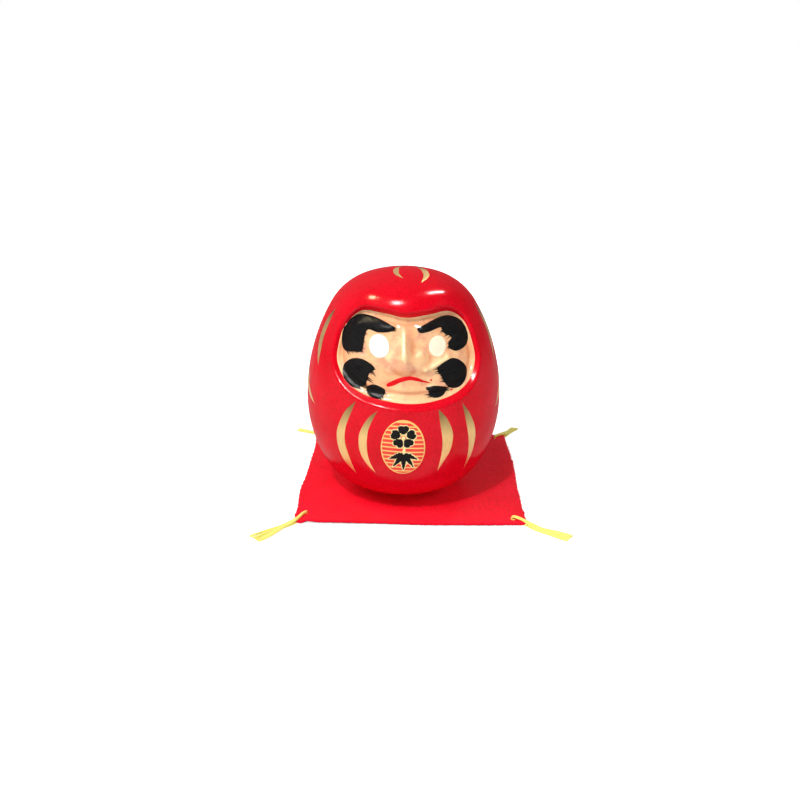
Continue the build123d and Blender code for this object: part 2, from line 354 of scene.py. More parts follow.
def painted_shading_level(x, z):
    """Painted shade and highlights of the skin: above 0.5 painted shade in creases and along the shade
    strokes, below it painted highlights on ridges and along the highlight strokes.
    """
    sides = ((CREASE_REACH, 0), (-CREASE_REACH, 0), (0, CREASE_REACH), (0, -CREASE_REACH))
    around_it = sum(face_relief(x + dx, z + dz) for dx, dz in sides)
    crease = 1.1 * (around_it / 4 - face_relief(x, z))
    return np.clip(0.5 + crease - soft_strokes(x, z, PAINTED_HIGHLIGHT_STROKES) + soft_strokes(x, z, PAINTED_SHADE_STROKES), 0, 1)


def blush_and_shade(x, z):
    """Brushed-on pink by the brows and by the eyes, and painted shade under the nose."""
    return soft_strokes(x, z, PINK_PAINT_AND_SHADE)


def face_height(points, t):
    """Height of the painted face above the egg, measured along -Y (negative is sunk)."""
    hood = hood_share(points)
    edge = -(EDGE_SINK * (1 - hood) + HOOD_SINK * hood) - 0.05
    wall_width = 2.1 * (1 - hood) + 1.3 * hood
    floor = -FACE_SINK - HOOD_FLOOR_DROP * hood
    down = smooth(0.0, 1.0, -t / wall_width)
    groove = -0.18 * bump(-t, wall_width + 0.35, 0.6)
    relief = face_relief(points[:, 0], points[:, 2]) * smooth(0.6, 3.6, -t)
    return edge + (floor - edge) * down + groove + relief


def push_direction(normals, t):
    """Straight forwards on the face, along the egg's normal away from it."""
    share = smooth(-1.0, 4.0, t)[:, None]
    mixed = normals * share + FORWARDS * (1 - share)
    return mixed / np.linalg.norm(mixed, axis=1, keepdims=True)


def shell_surface(points, normals):
    """The red surface above the given points of the egg."""
    t = edge_distance(points)
    return points + push_direction(normals, t) * shell_height(points, t)[:, None]


def face_surface(points):
    """The face's surface in front of or behind the given points of the egg."""
    t = edge_distance(points)
    return points + FORWARDS * face_height(points, t)[:, None]


# ---------------------------------------------------------------- mesh building

def make_object(name, points, faces, material, smooth_angle=50.0):
    """Blender object from points in metres and faces, smooth shaded below the given angle."""
    mesh = bpy.data.meshes.new(name)
    mesh.from_pydata([tuple(p) for p in points], [], [tuple(f) for f in faces])
    mesh.validate()
    mesh.update()
    mesh.polygons.foreach_set("use_smooth", [True] * len(mesh.polygons))
    mesh.set_sharp_from_angle(angle=math.radians(smooth_angle))
    mesh.materials.append(material)
    piece = bpy.data.objects.new(name, mesh)
    bpy.context.collection.objects.link(piece)
    return piece


def placed(points):
    """Points of the doll's own frame, in millimetres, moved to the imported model's frame in metres."""
    turn = np.array(doll_matrix.to_3x3())
    return np.asarray(points) * MM @ turn.T + np.array(doll_origin)


def doll_piece(name, points, faces, material):
    """A piece that rides on the doll, from points in the doll's own millimetres."""
    piece = make_object(name, placed(points), faces, material)
    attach(piece, "doll")
    return piece


def float_attribute(piece, name, values):
    """Per-point number for the piece's material to read."""
    attribute = piece.data.attributes.new(name, "FLOAT", "POINT")
    attribute.data.foreach_set("value", np.asarray(values, dtype=np.float32))


# Directions from the core are mapped to a plane in which circles round the face grow into circles
# round the clay base, so that one set of rings runs from the face's edge to the base's edge.

def plane_of(direction):
    """Complex number of the plane for each unit direction."""
    return (direction[:, 0] + 1j * direction[:, 2]) / (1 - direction[:, 1])


def direction_of(zeta):
    """Unit direction for each complex number of the plane."""
    size = np.abs(zeta) ** 2
    return np.stack([2 * zeta.real, size - 1, 2 * zeta.imag], 1) / (1 + size)[:, None]


def unit_from_core(points):
    """Unit direction from the core to each point."""
    away = np.asarray(points, float) - np.array([0, 0, CORE_HEIGHT])
    return away / np.linalg.norm(away, axis=1, keepdims=True)


def base_circle():
    """Centre and radius, on the imaginary axis of the plane, of the shell's bottom opening."""
    turn = math.radians(ROCKER_ANGLE)
    across = ROCKER_RADIUS * math.sin(turn)
    up = ROCKER_RADIUS * (1 - math.cos(turn))
    rim = unit_from_core([[0, across, up], [0, -across, up]])
    ends = plane_of(rim).imag
    return 1j * (ends[0] + ends[1]) / 2, abs(ends[0] - ends[1]) / 2


FACE_POLE = 1j * plane_of(unit_from_core(egg_front(np.array([0.0]), np.array([FACE_MIDDLE[1]]))[0]))[0].imag
BASE_CENTRE, BASE_SPREAD = base_circle()
BASE_POLE = BASE_CENTRE + BASE_SPREAD ** 2 / np.conj(FACE_POLE - BASE_CENTRE)


def to_rings(directions):
    """Unit directions as complex numbers whose size grows from the face's middle to the base's edge."""
    zeta = plane_of(directions)
    return (zeta - FACE_POLE) / (zeta - BASE_POLE)


def from_rings(ring):
    """Unit directions from complex ring numbers."""
    return direction_of((ring * BASE_POLE - FACE_POLE) / (ring - 1))


COLUMNS = 480
TURNS = (np.arange(COLUMNS) + 0.5) / COLUMNS * 2 * math.pi
EDGE_RINGS = to_rings(unit_from_core(EDGE_POINTS))


def periodic(turn, value):
    """Reads a closed curve, given as turn and value samples, at every column's turn."""
    order = np.argsort(turn % (2 * math.pi))
    return np.interp(TURNS, (turn % (2 * math.pi))[order], value[order], period=2 * math.pi)


EDGE_LOG = periodic(np.angle(EDGE_RINGS), np.log(np.abs(EDGE_RINGS)))
BASE_TOP = BASE_CENTRE + 1j * BASE_SPREAD
BASE_LOG = math.log(abs((BASE_TOP - FACE_POLE) / (BASE_TOP - BASE_POLE)))


def ring_points(logs):
    """Egg points and normals of one ring, from each column's logarithm of ring radius."""
    return egg_toward(from_rings(np.exp(logs) * np.exp(1j * TURNS)))


def edge_slope():
    """How many logarithm units one millimetre away from the paint's edge is, in each column."""
    step = 0.06
    near = ring_points(EDGE_LOG - step)[0]
    far = ring_points(EDGE_LOG + step)[0]
    gap = edge_distance(far) - edge_distance(near)
    slope = 2 * step / gap
    spread = np.ones(9) / 9
    return np.convolve(np.concatenate([slope[-4:], slope, slope[:4]]), spread, mode="valid")


EDGE_SLOPE = edge_slope()


def rings_at(distances):
    """Rings at the given distances in millimetres from the paint's edge."""
    return [EDGE_LOG + EDGE_SLOPE * distance for distance in distances]


def rings_between(start, end, shares):
    """Rings between two rings, by shares from 0 to 1 of their logarithm."""
    return [start + (end - start) * share for share in shares]


def rings_to_middle(start, count):
    """Rings from a ring down to nearly the face's middle, evenly spaced."""
    return [start + math.log(1 - k / (count + 0.6)) for k in range(1, count + 1)]


def quads_between(rings, closed_ends):
    """Faces joining consecutive rings, with a fan at each end to one extra point."""
    faces = []
    column = np.arange(COLUMNS)
    after = (column + 1) % COLUMNS
    for k in range(rings - 1):
        low, high = k * COLUMNS, (k + 1) * COLUMNS
        faces += np.stack([low + column, low + after, high + after, high + column], 1).tolist()
    first_point, last_point = closed_ends
    faces += np.stack([after, column, np.full(COLUMNS, first_point)], 1).tolist()
    last = (rings - 1) * COLUMNS
    faces += np.stack([last + column, last + after, np.full(COLUMNS, last_point)], 1).tolist()
    return faces


def ring_solid(rings):
    """Closed solid from a list of rings, each an array of points, capped by its end rings' middles."""
    points = np.concatenate(rings + [rings[0].mean(0)[None], rings[-1].mean(0)[None]])
    total = len(rings) * COLUMNS
    return points, [face[::-1] for face in quads_between(len(rings), (total, total + 1))]


def red_ring(logs):
    """One ring of the red outside."""
    points, normals = ring_points(logs)
    return shell_surface(points, normals)


def sunk_ring(logs, extra):
    """Smooth floor hidden under the painted face, sunk extra millimetres below it."""
    points = ring_points(logs)[0]
    t = edge_distance(points)
    hood = hood_share(points)
    edge = EDGE_SINK * (1 - hood) + HOOD_SINK * hood + 0.25
    floor = FACE_SINK + HOOD_FLOOR_DROP * hood
    depth = edge + (floor - edge) * smooth(0.0, 1.8, -t) + extra * smooth(-0.2, 1.5, -t)
    return points + BACKWARDS * depth[:, None]


def inner_ring(logs):
    """The shell's inside, one wall behind its outside and behind the sunk face."""
    points, normals = ring_points(logs)
    t = edge_distance(points)
    behind_face = smooth(2.5, -0.5, t)[:, None]
    outside = points - normals * WALL
    backing = points + BACKWARDS * (FACE_SINK + BACKING_GAP + WALL)
    return outside * (1 - behind_face) + backing * behind_face


BACKING_GAP = 1.0          # play between the sunk face and the inner wall behind it
NEAR_REACH = 7.0           # millimetres of finely spaced rings on each side of the paint's edge
NEAR_RINGS = 40
FAR_RINGS = 92
INNER_RINGS = 20
UNDER_FACE = [-0.02, -0.3, -0.8, -1.6, -2.8, -4.5]
HIDDEN_FLOOR = 0.9         # depth of the shell's floor below the smooth floor of the painted face
FACE_SEAT = 1.15           # depth of the face piece's underside below that same floor
SEAT_AT = [0.3, -0.3, -0.8, -1.6, -2.8]


def make_shell():
    """Hollow red shell: outside with its rim and hood, inner wall, and the hidden floor of the face."""
    near = rings_at(np.linspace(0, NEAR_REACH, NEAR_RINGS))
    far_shares = np.linspace(0, 1, FAR_RINGS + 1)[1:] ** 1.15
    far = rings_between(near[-1], np.full(COLUMNS, BASE_LOG), far_shares)
    under = rings_at(UNDER_FACE)
    middle = rings_to_middle(under[-1], 5)
    hidden = [sunk_ring(logs, HIDDEN_FLOOR) for logs in reversed(under + middle)]
    outside = [red_ring(logs) for logs in near + far]
    inner = rings_between(near[0], far[-1], np.linspace(0, 1, INNER_RINGS))
    inside = [inner_ring(logs) for logs in reversed(inner)]
    behind = [inner_ring(logs) for logs in rings_to_middle(near[0], 5)]
    points, faces = ring_solid(hidden + outside + inside + behind)
    shell = doll_piece("painted_shell", points, faces, red_lacquer())
    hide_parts("body_shell")
    return shell


def make_face():
    """The moulded and painted face, a closed piece seated in the shell's opening."""
    near = rings_at(np.linspace(0.3, -4.0, 30))
    middle = rings_to_middle(near[-1], 66)
    top, values = [], {"inward": [], "painted_shading": [], "blush_and_shade": []}
    for logs in near + middle:
        points = ring_points(logs)[0]
        t = edge_distance(points)
        lowered = 0.35 * smooth(0.0, 0.3, t)
        top.append(face_surface(points) + BACKWARDS * lowered[:, None])
        x, z = points[:, 0], points[:, 2]
        for name, value in (("inward", -t), ("painted_shading", painted_shading_level(x, z)), ("blush_and_shade", blush_and_shade(x, z))):
            values[name].append(value)
    seat_logs = rings_at(SEAT_AT)
    seat = [sunk_ring(logs, FACE_SEAT) for logs in seat_logs + rings_to_middle(seat_logs[-1], 5)]
    points, faces = ring_solid(list(reversed(top)) + seat)
    face = doll_piece("moulded_face", points, faces, face_enamel())
    hidden = [np.zeros(COLUMNS)] * len(seat)
    for name, rows in values.items():
        float_attribute(face, name, np.concatenate(rows[::-1] + hidden + [[12.0, 0.0]]))
    return face


# ---------------------------------------------------------------- materials

def new_material(name):
    """Empty material with a Principled shader, its node tree and the shader."""
    material = bpy.data.materials.new(name)
    material.use_nodes = True
    tree = material.node_tree
    return material, tree, tree.nodes["Principled BSDF"]


def set_inputs(node, **values):
    """Sets sockets by name, with underscores for spaces."""
    for name, value in values.items():
        node.inputs[name.replace("_", " ")].default_value = value


def noise(tree, scale, detail=4.0, roughness=0.55, stretch=(1, 1, 1), seed=0.0, distortion=0.0):
    """Noise in object space. Scale is in cycles per metre; returns the node's value socket."""
    place = tree.nodes.new("ShaderNodeTexCoord")
    shift = tree.nodes.new("ShaderNodeMapping")
    shift.inputs["Location"].default_value = (seed, seed * 0.37, -seed * 0.71)
    shift.inputs["Scale"].default_value = stretch
    tree.links.new(place.outputs["Object"], shift.inputs["Vector"])
    texture = tree.nodes.new("ShaderNodeTexNoise")
    set_inputs(texture, Scale=scale, Detail=detail, Roughness=roughness, Distortion=distortion)
    tree.links.new(shift.outputs["Vector"], texture.inputs["Vector"])
    return texture.outputs["Fac"]


def ramp(tree, value, stops):
    """Ramp over a value, from (position, colour or grey level) stops; returns its colour socket."""
    node = tree.nodes.new("ShaderNodeValToRGB")
    elements = node.color_ramp.elements
    while len(elements) < len(stops):
        elements.new(0.5)
    for element, (position, colour) in zip(elements, stops):
        element.position = position
        element.color = (*colour, 1.0) if isinstance(colour, tuple) else (colour, colour, colour, 1.0)
    tree.links.new(value, node.inputs["Fac"])
    return node.outputs["Color"]


def mix(tree, factor, first, second):
    """Mixes two colours, each a socket or a colour, by a factor socket."""
    node = tree.nodes.new("ShaderNodeMix")
    node.data_type = "RGBA"
    tree.links.new(factor, node.inputs["Factor"])
    for name, value in (("A", first), ("B", second)):
        socket = [s for s in node.inputs if s.name == name and s.type == "RGBA"][0]
        if isinstance(value, tuple):
            socket.default_value = (*value, 1.0)
        else:
            tree.links.new(value, socket)
    return [s for s in node.outputs if s.type == "RGBA"][0]


def paint(tree, shader, colour):
    """Drives the shader's base colour by a colour socket."""
    tree.links.new(colour, shader.inputs["Base Color"])


def add_bump(tree, shader, height, strength, distance, previous=None):
    """Bumps the shader's normal by a height socket; returns the bump node."""
    node = tree.nodes.new("ShaderNodeBump")
    set_inputs(node, Strength=strength, Distance=distance)
    tree.links.new(height, node.inputs["Height"])
    if previous is not None:
        tree.links.new(previous.outputs["Normal"], node.inputs["Normal"])
    tree.links.new(node.outputs["Normal"], shader.inputs["Normal"])
    tree.links.new(node.outputs["Normal"], shader.inputs["Coat Normal"])
    return node


RED = (0.75, 0.003, 0.016)
DEEP_RED = (0.68, 0.002, 0.011)
GRAIN_RED = (0.47, 0.001, 0.007)
SKIN = (0.86, 0.43, 0.21)
PALE_SKIN = (0.90, 0.57, 0.30)
# pale cream of the rim's wall, also the colour of the skin's painted highlights
CREAM = (0.95, 0.74, 0.40)
# pinkish brown of the skin's flush, also the painted shade under the nose
FLUSH_AND_SHADE = (0.72, 0.31, 0.21)
FLECK = (0.42, 0.15, 0.14)
# orange-brown painted shade for the groove round the face and for its creases
CREASE_SHADE = (0.74, 0.25, 0.11)


def red_lacquer():
    """Brush-dipped red lacquer over papier-mache: slight unevenness and fine orange peel."""
    material, tree, shader = new_material("red_lacquer")
    patches = noise(tree, 90, detail=3)
    ground = ramp(tree, patches, [(0.35, DEEP_RED), (0.65, RED)])
    grain = ramp(tree, noise(tree, 1900, detail=3, seed=1.7), [(0.36, 0.55), (0.56, 0)])
    paint(tree, shader, mix(tree, grain, ground, GRAIN_RED))
    set_inputs(shader, Roughness=0.3, Specular_IOR_Level=0.0, Coat_Weight=0.30, Coat_Roughness=0.15)
    waves = add_bump(tree, shader, noise(tree, 160, detail=2, seed=3.0), 0.25, 0.0006)
    add_bump(tree, shader, noise(tree, 2100, detail=2, seed=8.0), 0.3, 0.00012, waves)
    return material


def face_enamel():
    """Flesh enamel with flushed and dark flecked patches where it is thin; painted shade in its groove,
    creases and under the nose, painted highlights on its ridges, and a creamier rim wall, partly its paint
    and partly painted light.
    """
    material, tree, shader = new_material("face_enamel")
    broad = noise(tree, 150, detail=4, seed=1.3)
    base = ramp(tree, broad, [(0.36, PALE_SKIN), (0.62, SKIN)])
    # pink flush in patches, strongest in the pink paint and in the painted shade under the nose
    flush = noise(tree, 300, detail=6, roughness=0.7, seed=6.1)
    pink_and_shade_level = math_node(tree, "ADD", flush, attribute(tree, "blush_and_shade", 0.11))
    flushed = mix(tree, ramp(tree, pink_and_shade_level, [(0.51, 0), (0.68, 0.85)]), base, FLUSH_AND_SHADE)
    fleck = noise(tree, 800, detail=5, roughness=0.75, seed=2.2)
    flecked = mix(tree, ramp(tree, fleck, [(0.60, 0), (0.72, 0.55)]), flushed, FLECK)
    inward = attribute(tree, "inward", 0.1)
    # painted shade: a darker orange line in the groove at the foot of the rim's wall
    groove = ramp(tree, inward, [(0.19, 0), (0.25, 0.62), (0.29, 0.5), (0.38, 0)])
    groove_shaded = mix(tree, groove, flecked, CREASE_SHADE)
    # creamier rim wall: partly its paint, partly painted light where the wall catches light
    wall = ramp(tree, inward, [(0.05, 0.25), (0.12, 0)])
    # painted shade in creases and painted highlights on ridges, from the painted shading number
    painted_shading = attribute(tree, "painted_shading")
    crease_shaded = mix(tree, ramp(tree, painted_shading, [(0.52, 0), (0.72, 0.6)]), groove_shaded, CREASE_SHADE)
    raised = mix(tree, ramp(tree, painted_shading, [(0.26, 0.8), (0.46, 0)]), crease_shaded, CREAM)
    paint(tree, shader, mix(tree, wall, raised, CREAM))
    set_inputs(shader, Roughness=0.4, Specular_IOR_Level=0.05, Coat_Weight=0.7, Coat_Roughness=0.12)
    add_bump(tree, shader, noise(tree, 420, detail=3, seed=4.4), 0.35, 0.0004)
    return material


def base_paint():
    """Thinner red paint on the clay base, a little rougher where it meets the mat."""
    material, tree, shader = new_material("painted_clay")
    wear = noise(tree, 260, detail=5)
    paint(tree, shader, ramp(tree, wear, [(0.3, DEEP_RED), (0.7, RED)]))
    tree.links.new(ramp(tree, wear, [(0.3, 0.3), (0.7, 0.5)]), shader.inputs["Roughness"])
    add_bump(tree, shader, noise(tree, 700, detail=4, seed=5.0), 0.3, 0.0003)
    return material


def math_node(tree, operation, first, second=None):
    """Math node over sockets or numbers; returns its socket."""
    node = tree.nodes.new("ShaderNodeMath")
    node.operation = operation
    for socket, value in zip(node.inputs, (first, second)):
        if isinstance(value, (int, float)):
            socket.default_value = value
        elif value is not None:
            tree.links.new(value, socket)
    return node.outputs["Value"]


def attribute(tree, name, scale=1.0):
    """A per-point number of the piece, times a scale; returns its socket."""
    node = tree.nodes.new("ShaderNodeAttribute")
    node.attribute_name = name
    number = node.outputs["Fac"]
    return number if scale == 1.0 else math_node(tree, "MULTIPLY", number, scale)


def streaks(tree, across, along, seed=0.0):
    """Noise drawn out along a brush stroke, from the piece's across and along attributes."""
    place = tree.nodes.new("ShaderNodeCombineXYZ")
    tree.links.new(attribute(tree, "across", across), place.inputs["X"])
    tree.links.new(attribute(tree, "along", along), place.inputs["Y"])
    place.inputs["Z"].default_value = seed
    texture = tree.nodes.new("ShaderNodeTexNoise")
    set_inputs(texture, Scale=1.0, Detail=4.0, Roughness=0.6)
    tree.links.new(place.outputs["Vector"], texture.inputs["Vector"])
    return texture.outputs["Fac"]


def brushed(name, grain, stops, relief, **values):
    """Paint or yarn with streaks along its strokes, from the streaks' sizes, colours and relief."""
    material, tree, shader = new_material(name)
    hairs = streaks(tree, *grain)
    paint(tree, shader, ramp(tree, hairs, stops))
    set_inputs(shader, **values)
    add_bump(tree, shader, hairs, *relief)
    return material


def black_paint():
    """Glossy black brushed on thickly, with hair ridges along the stroke."""
    stops = [(0.3, (0.004, 0.004, 0.005)), (0.7, (0.018, 0.017, 0.016))]
    gloss = {"Roughness": 0.4, "Specular_IOR_Level": 0.0, "Coat_Weight": 0.1, "Coat_Roughness": 0.18}
    return brushed("black_paint", (5.0, 0.35), stops, (0.5, 0.00016), **gloss)


def mouth_paint():
    """Thick red brush paint of the mouth."""
    stops = [(0.3, (0.62, 0.004, 0.008)), (0.7, (0.78, 0.009, 0.013))]
    gloss = {"Roughness": 0.35, "Specular_IOR_Level": 0.12}
    return brushed("mouth_paint", (3.0, 0.4, 2.0), stops, (0.3, 0.00012), **gloss)


def yarn():
    """Soft lemon-yellow yarn with fine fibre streaks."""
    stops = [(0.3, (0.88, 0.72, 0.10)), (0.6, (0.98, 0.93, 0.26))]
    gloss = {"Roughness": 0.8, "Sheen_Weight": 0.2, "Sheen_Roughness": 0.5, "Specular_IOR_Level": 0.2}
    return brushed("yellow_yarn", (9.0, 1.2, 1.0), stops, (0.6, 0.0001), **gloss)


def white_paint(name, colour):
    """Matt white or cream dab with faint brushing."""
    material, tree, shader = new_material(name)
    wear = noise(tree, 500, detail=3)
    dull = tuple(0.93 * part for part in colour)
    paint(tree, shader, ramp(tree, wear, [(0.3, dull), (0.7, colour)]))
    set_inputs(shader, Roughness=0.45)
    add_bump(tree, shader, wear, 0.15, 0.0001)
    return material


OLD_GOLD = (0.26, 0.16, 0.055)


def gold_paint():
    """Bronze-powder gold in long strokes, darker and browner near the start of each stroke and a little at
    its end.
    """
    material, tree, shader = new_material("gold_paint")
    hairs = streaks(tree, 5.0, 0.22, 5.0)
    stops = [(0.25, (0.57, 0.34, 0.13)), (0.5, (0.80, 0.53, 0.215)), (0.75, (0.88, 0.63, 0.30))]
    colour = ramp(tree, hairs, stops)
    stroke = attribute(tree, "along", 0.05)
    darker_at_ends = ramp(tree, stroke, [(0.10, 0.95), (0.42, 0), (0.90, 0), (1.0, 0.3)])
    paint(tree, shader, mix(tree, darker_at_ends, colour, OLD_GOLD))
    set_inputs(shader, Roughness=0.36, Metallic=0.88)
    add_bump(tree, shader, hairs, 0.12, 0.0001)
    return material


LABEL_RED = (0.82, 0.045, 0.03)
LABEL_GOLD = (0.93, 0.60, 0.18)
LINE_PITCH = 1.36          # millimetres between the label's printed lines


def label_paper():
    """Orange-red paper printed with pale gold lines and a pale gold border."""
    material, tree, shader = new_material("label_paper")
    x, z = attribute(tree, "label_x"), attribute(tree, "label_z")
    phase = math_node(tree, "FRACT", math_node(tree, "ADD", math_node(tree, "DIVIDE", z, LINE_PITCH), 20.3))
    gap = math_node(tree, "ABSOLUTE", math_node(tree, "SUBTRACT", phase, 0.5))
    line = ramp(tree, gap, [(0.12, 1), (0.17, 0)])
    across = math_node(tree, "POWER", math_node(tree, "DIVIDE", x, LABEL_HALF[0]), 2)
    up = math_node(tree, "POWER", math_node(tree, "DIVIDE", z, LABEL_HALF[1]), 2)
    reach = math_node(tree, "SQRT", math_node(tree, "ADD", across, up))
    border = ramp(tree, reach, [(0.945, 0), (0.965, 1)])
    grain = noise(tree, 2500, detail=3)
    ground = ramp(tree, grain, [(0.3, LABEL_RED), (0.7, (0.88, 0.07, 0.04))])
    printed = mix(tree, line, ground, LABEL_GOLD)
    paint(tree, shader, mix(tree, border, printed, LABEL_GOLD))
    set_inputs(shader, Roughness=0.34, Specular_IOR_Level=0.25)
    add_bump(tree, shader, grain, 0.1, 0.00005)
    return material


FELT_PAINTED_GLOW = 0.08           # painted glow: the felt's own light, which brightens it beyond what the lamps give
FELT_PIT = (0.50, 0.001, 0.010)
# painted shade for the felt's underside, the foot of its cut edges and its loose fibres
FELT_SHADE = (0.26, 0.0, 0.008)


def felt():
    """Bright red pressed felt: matted fibres, soft sheen, tiny darker pits, a painted glow, and painted shade
    on its underside and lower edges.
    """
    material, tree, shader = new_material("red_felt")
    fibres = noise(tree, 1150, detail=4, roughness=0.6, distortion=0.6)
    broad = noise(tree, 110, detail=4, seed=9.0)
    ground = ramp(tree, broad, [(0.3, (0.84, 0.002, 0.018)), (0.7, (0.97, 0.004, 0.030))])
    pits = ramp(tree, fibres, [(0.32, 0.55), (0.50, 0)])
    pitted = mix(tree, pits, ground, FELT_PIT)
    # painted shade: the underside number darkens the felt towards the foot of its cut edges
    under = attribute(tree, "underside")
    paint(tree, shader, mix(tree, under, pitted, FELT_SHADE))
    # painted glow on the felt, left out where the painted shade lies
    glow = math_node(tree, "MULTIPLY", math_node(tree, "SUBTRACT", 1.0, under), FELT_PAINTED_GLOW)
    tree.links.new(glow, shader.inputs["Emission Strength"])
    set_inputs(shader, Roughness=0.95, Sheen_Weight=0.12, Sheen_Roughness=0.5, Specular_IOR_Level=0.12)
    set_inputs(shader, Sheen_Tint=(1.0, 0.25, 0.2, 1), Emission_Color=(1.0, 0.002, 0.01, 1))
    add_bump(tree, shader, fibres, 0.7, 0.0004)
    return material


# ---------------------------------------------------------------- painted marks

def triangulated(outline, spacing):
    """Points and triangles filling a closed outline, with an even grid of points inside it."""
    low, high = outline.min(0), outline.max(0)
    row_gap = spacing * 0.87
    columns, rows = np.meshgrid(np.arange(low[0], high[0], spacing), np.arange(low[1], high[1], row_gap))
    columns[1::2] += spacing / 2
    grid = np.stack([columns.ravel(), rows.ravel()], 1)
    keep = inside_curve(grid[:, 0], grid[:, 1], outline) & (outline_gap(grid, outline) > spacing * 0.5)
    points = np.concatenate([outline, grid[keep]])
    loop = [list(range(len(outline)))]
    filled = geometry.delaunay_2d_cdt([Vector(p) for p in points], [], loop, 1, 1e-7)
    points = np.array([tuple(p) for p in filled[0]])
    faces = [list(face) for face in filled[2]]
    corner = points[np.array(faces)]
    area = np.cross(corner[:, 1] - corner[:, 0], corner[:, 2] - corner[:, 0])
    return points, [face if size > 0 else face[::-1] for face, size in zip(faces, area)]


def outline_gap(points, outline):
    """Distance from each point to the nearest sample of an outline."""
    return in_chunks(lambda chunk: np.sqrt(((chunk[:, None] - outline[None]) ** 2).sum(2).min(1)), points)


def boundary_edges(faces):
    """Directed edges that belong to one face only."""
    seen = set()
    for face in faces:
        for a, b in zip(face, face[1:] + face[:1]):
            if (b, a) in seen:
                seen.discard((b, a))
            else:
                seen.add((a, b))
    return seen


def grid_faces(rows, columns):
    """Faces of a grid of points given row by row."""
    cell = np.arange((rows - 1) * columns).reshape(rows - 1, columns)[:, :-1].ravel()
    return np.stack([cell, cell + 1, cell + columns + 1, cell + columns], 1)


def closed_layer(top, bottom, faces):
    """Closed solid between two layers that share one set of faces, wound outwards for the top."""
    count = len(top)
    walls = [[b, a, a + count, b + count] for a, b in boundary_edges(faces)]
    under = [[p + count for p in reversed(face)] for face in faces]
    return np.concatenate([top, bottom]), faces + under + walls


TOOTH_SAMPLES = 48         # samples between two points of a brushed outline
PAINT_ROOT = 0.22          # how far a paint film reaches below the surface it lies on
RIDGE_HEIGHT = 0.016       # height of the ridges that the brush's hairs leave


def toothed(outline, spans, reach, pitch, rng):
    """Smooth outline with brush-hair teeth on spans of its points, leaning from one way to another."""
    curve = closed_curve(outline, TOOTH_SAMPLES)
    gaps = np.linalg.norm(np.roll(curve, -1, 0) - curve, axis=1)
    moved = curve.copy()
    for first, last, start_lean, end_lean in spans:
        index = np.arange(int(first * TOOTH_SAMPLES), int(last * TOOTH_SAMPLES)) % len(curve)
        run = np.cumsum(gaps[index])
        ends = np.cumsum(rng.uniform(0.5, 1.5, 400)) * pitch
        ends = np.concatenate([[0], ends[ends < run[-1]], [run[-1]]])
        heights = rng.uniform(0.1, 1.0, len(ends)) ** 1.3 * reach
        tooth = np.searchsorted(ends, run, side="right").clip(1, len(ends) - 1)
        share = (run - ends[tooth - 1]) / np.maximum(ends[tooth] - ends[tooth - 1], 1e-6)
        profile = np.clip(1 - np.abs(share - 0.45) / 0.5, 0, 1)
        fade = smooth(0, 0.12, run / run[-1]) * smooth(1, 0.88, run / run[-1])
        turn = np.radians(start_lean + (end_lean - start_lean) * run / run[-1])
        lean = np.stack([np.cos(turn), np.sin(turn)], 1)
        moved[index] += lean * ((profile * heights[tooth] - 0.05 * reach) * fade)[:, None]
    return moved


def paint_patch(name, outline, stroke, thickness, material, spacing=0.34):
    """Closed film of paint on the face, rounded at its edge, from an outline in x and height."""
    flat, faces = triangulated(outline, spacing)
    points = egg_front(flat[:, 0], flat[:, 1])[0]
    base = face_surface(points)
    gap = outline_gap(flat, outline)
    across = flat @ np.array([-stroke[1], stroke[0]])
    along = flat @ np.asarray(stroke)
    ridges = np.sin(across * 9.0 + 1.3 * np.sin(along * 0.9)) + 0.6 * np.sin(across * 17.0 + along * 0.7)
    rise = smooth(0.0, 0.55, gap)
    lift = -0.02 + thickness * (0.5 + 0.5 * rise) + RIDGE_HEIGHT * ridges * rise
    top = base + FORWARDS * lift[:, None]
    bottom = base + BACKWARDS * PAINT_ROOT
    solid, faces = closed_layer(top, bottom, faces)
    piece = doll_piece(name, solid, faces, material)
    float_attribute(piece, "across", np.tile(across, 2))
    float_attribute(piece, "along", np.tile(along, 2))
    return piece


# Outlines on the face in x and height, seen from the front; teeth are given by spans of the points.
LEFT_BROW = [
    (-14.7, 60.4), (-11.8, 61.1), (-8.0, 60.5), (-4.6, 59.2), (-3.3, 58.2), (-5.0, 57.3), (-8.1, 57.0),
    (-11.0, 57.4), (-12.2, 54.6), (-12.8, 51.6), (-15.4, 51.2), (-18.2, 51.2), (-18.6, 54.6), (-17.4, 58.2),
]
RIGHT_BROW = [
    (3.1, 58.1), (5.1, 59.0), (9.0, 60.3), (12.6, 60.5), (16.2, 58.7), (18.1, 55.4), (17.9, 52.3),
    (14.9, 51.1), (12.7, 51.9), (12.2, 53.4), (13.0, 54.9), (10.8, 56.4), (10.1, 57.9), (8.4, 57.7),
    (6.4, 57.1), (4.2, 57.0),
]
LEFT_CHEEK = [
    (-18.0, 47.2), (-15.8, 49.2), (-12.9, 49.6), (-10.3, 48.6), (-9.2, 47.2), (-10.8, 46.0), (-11.4, 43.9),
    (-12.4, 42.2), (-14.8, 41.5), (-17.2, 42.5), (-18.5, 44.8),
]
RIGHT_CHEEK = [
    (8.7, 46.8), (9.9, 48.5), (12.3, 49.5), (15.0, 48.9), (17.4, 46.5), (17.6, 43.7), (15.8, 41.5),
    (13.0, 41.1), (11.2, 42.7), (10.0, 45.0),
]
LEFT_CHIN = [
    (-11.6, 41.9), (-10.0, 43.1), (-8.0, 42.7), (-6.3, 41.5), (-6.9, 39.9), (-8.4, 39.2), (-10.3, 39.7),
    (-11.3, 40.7),
]
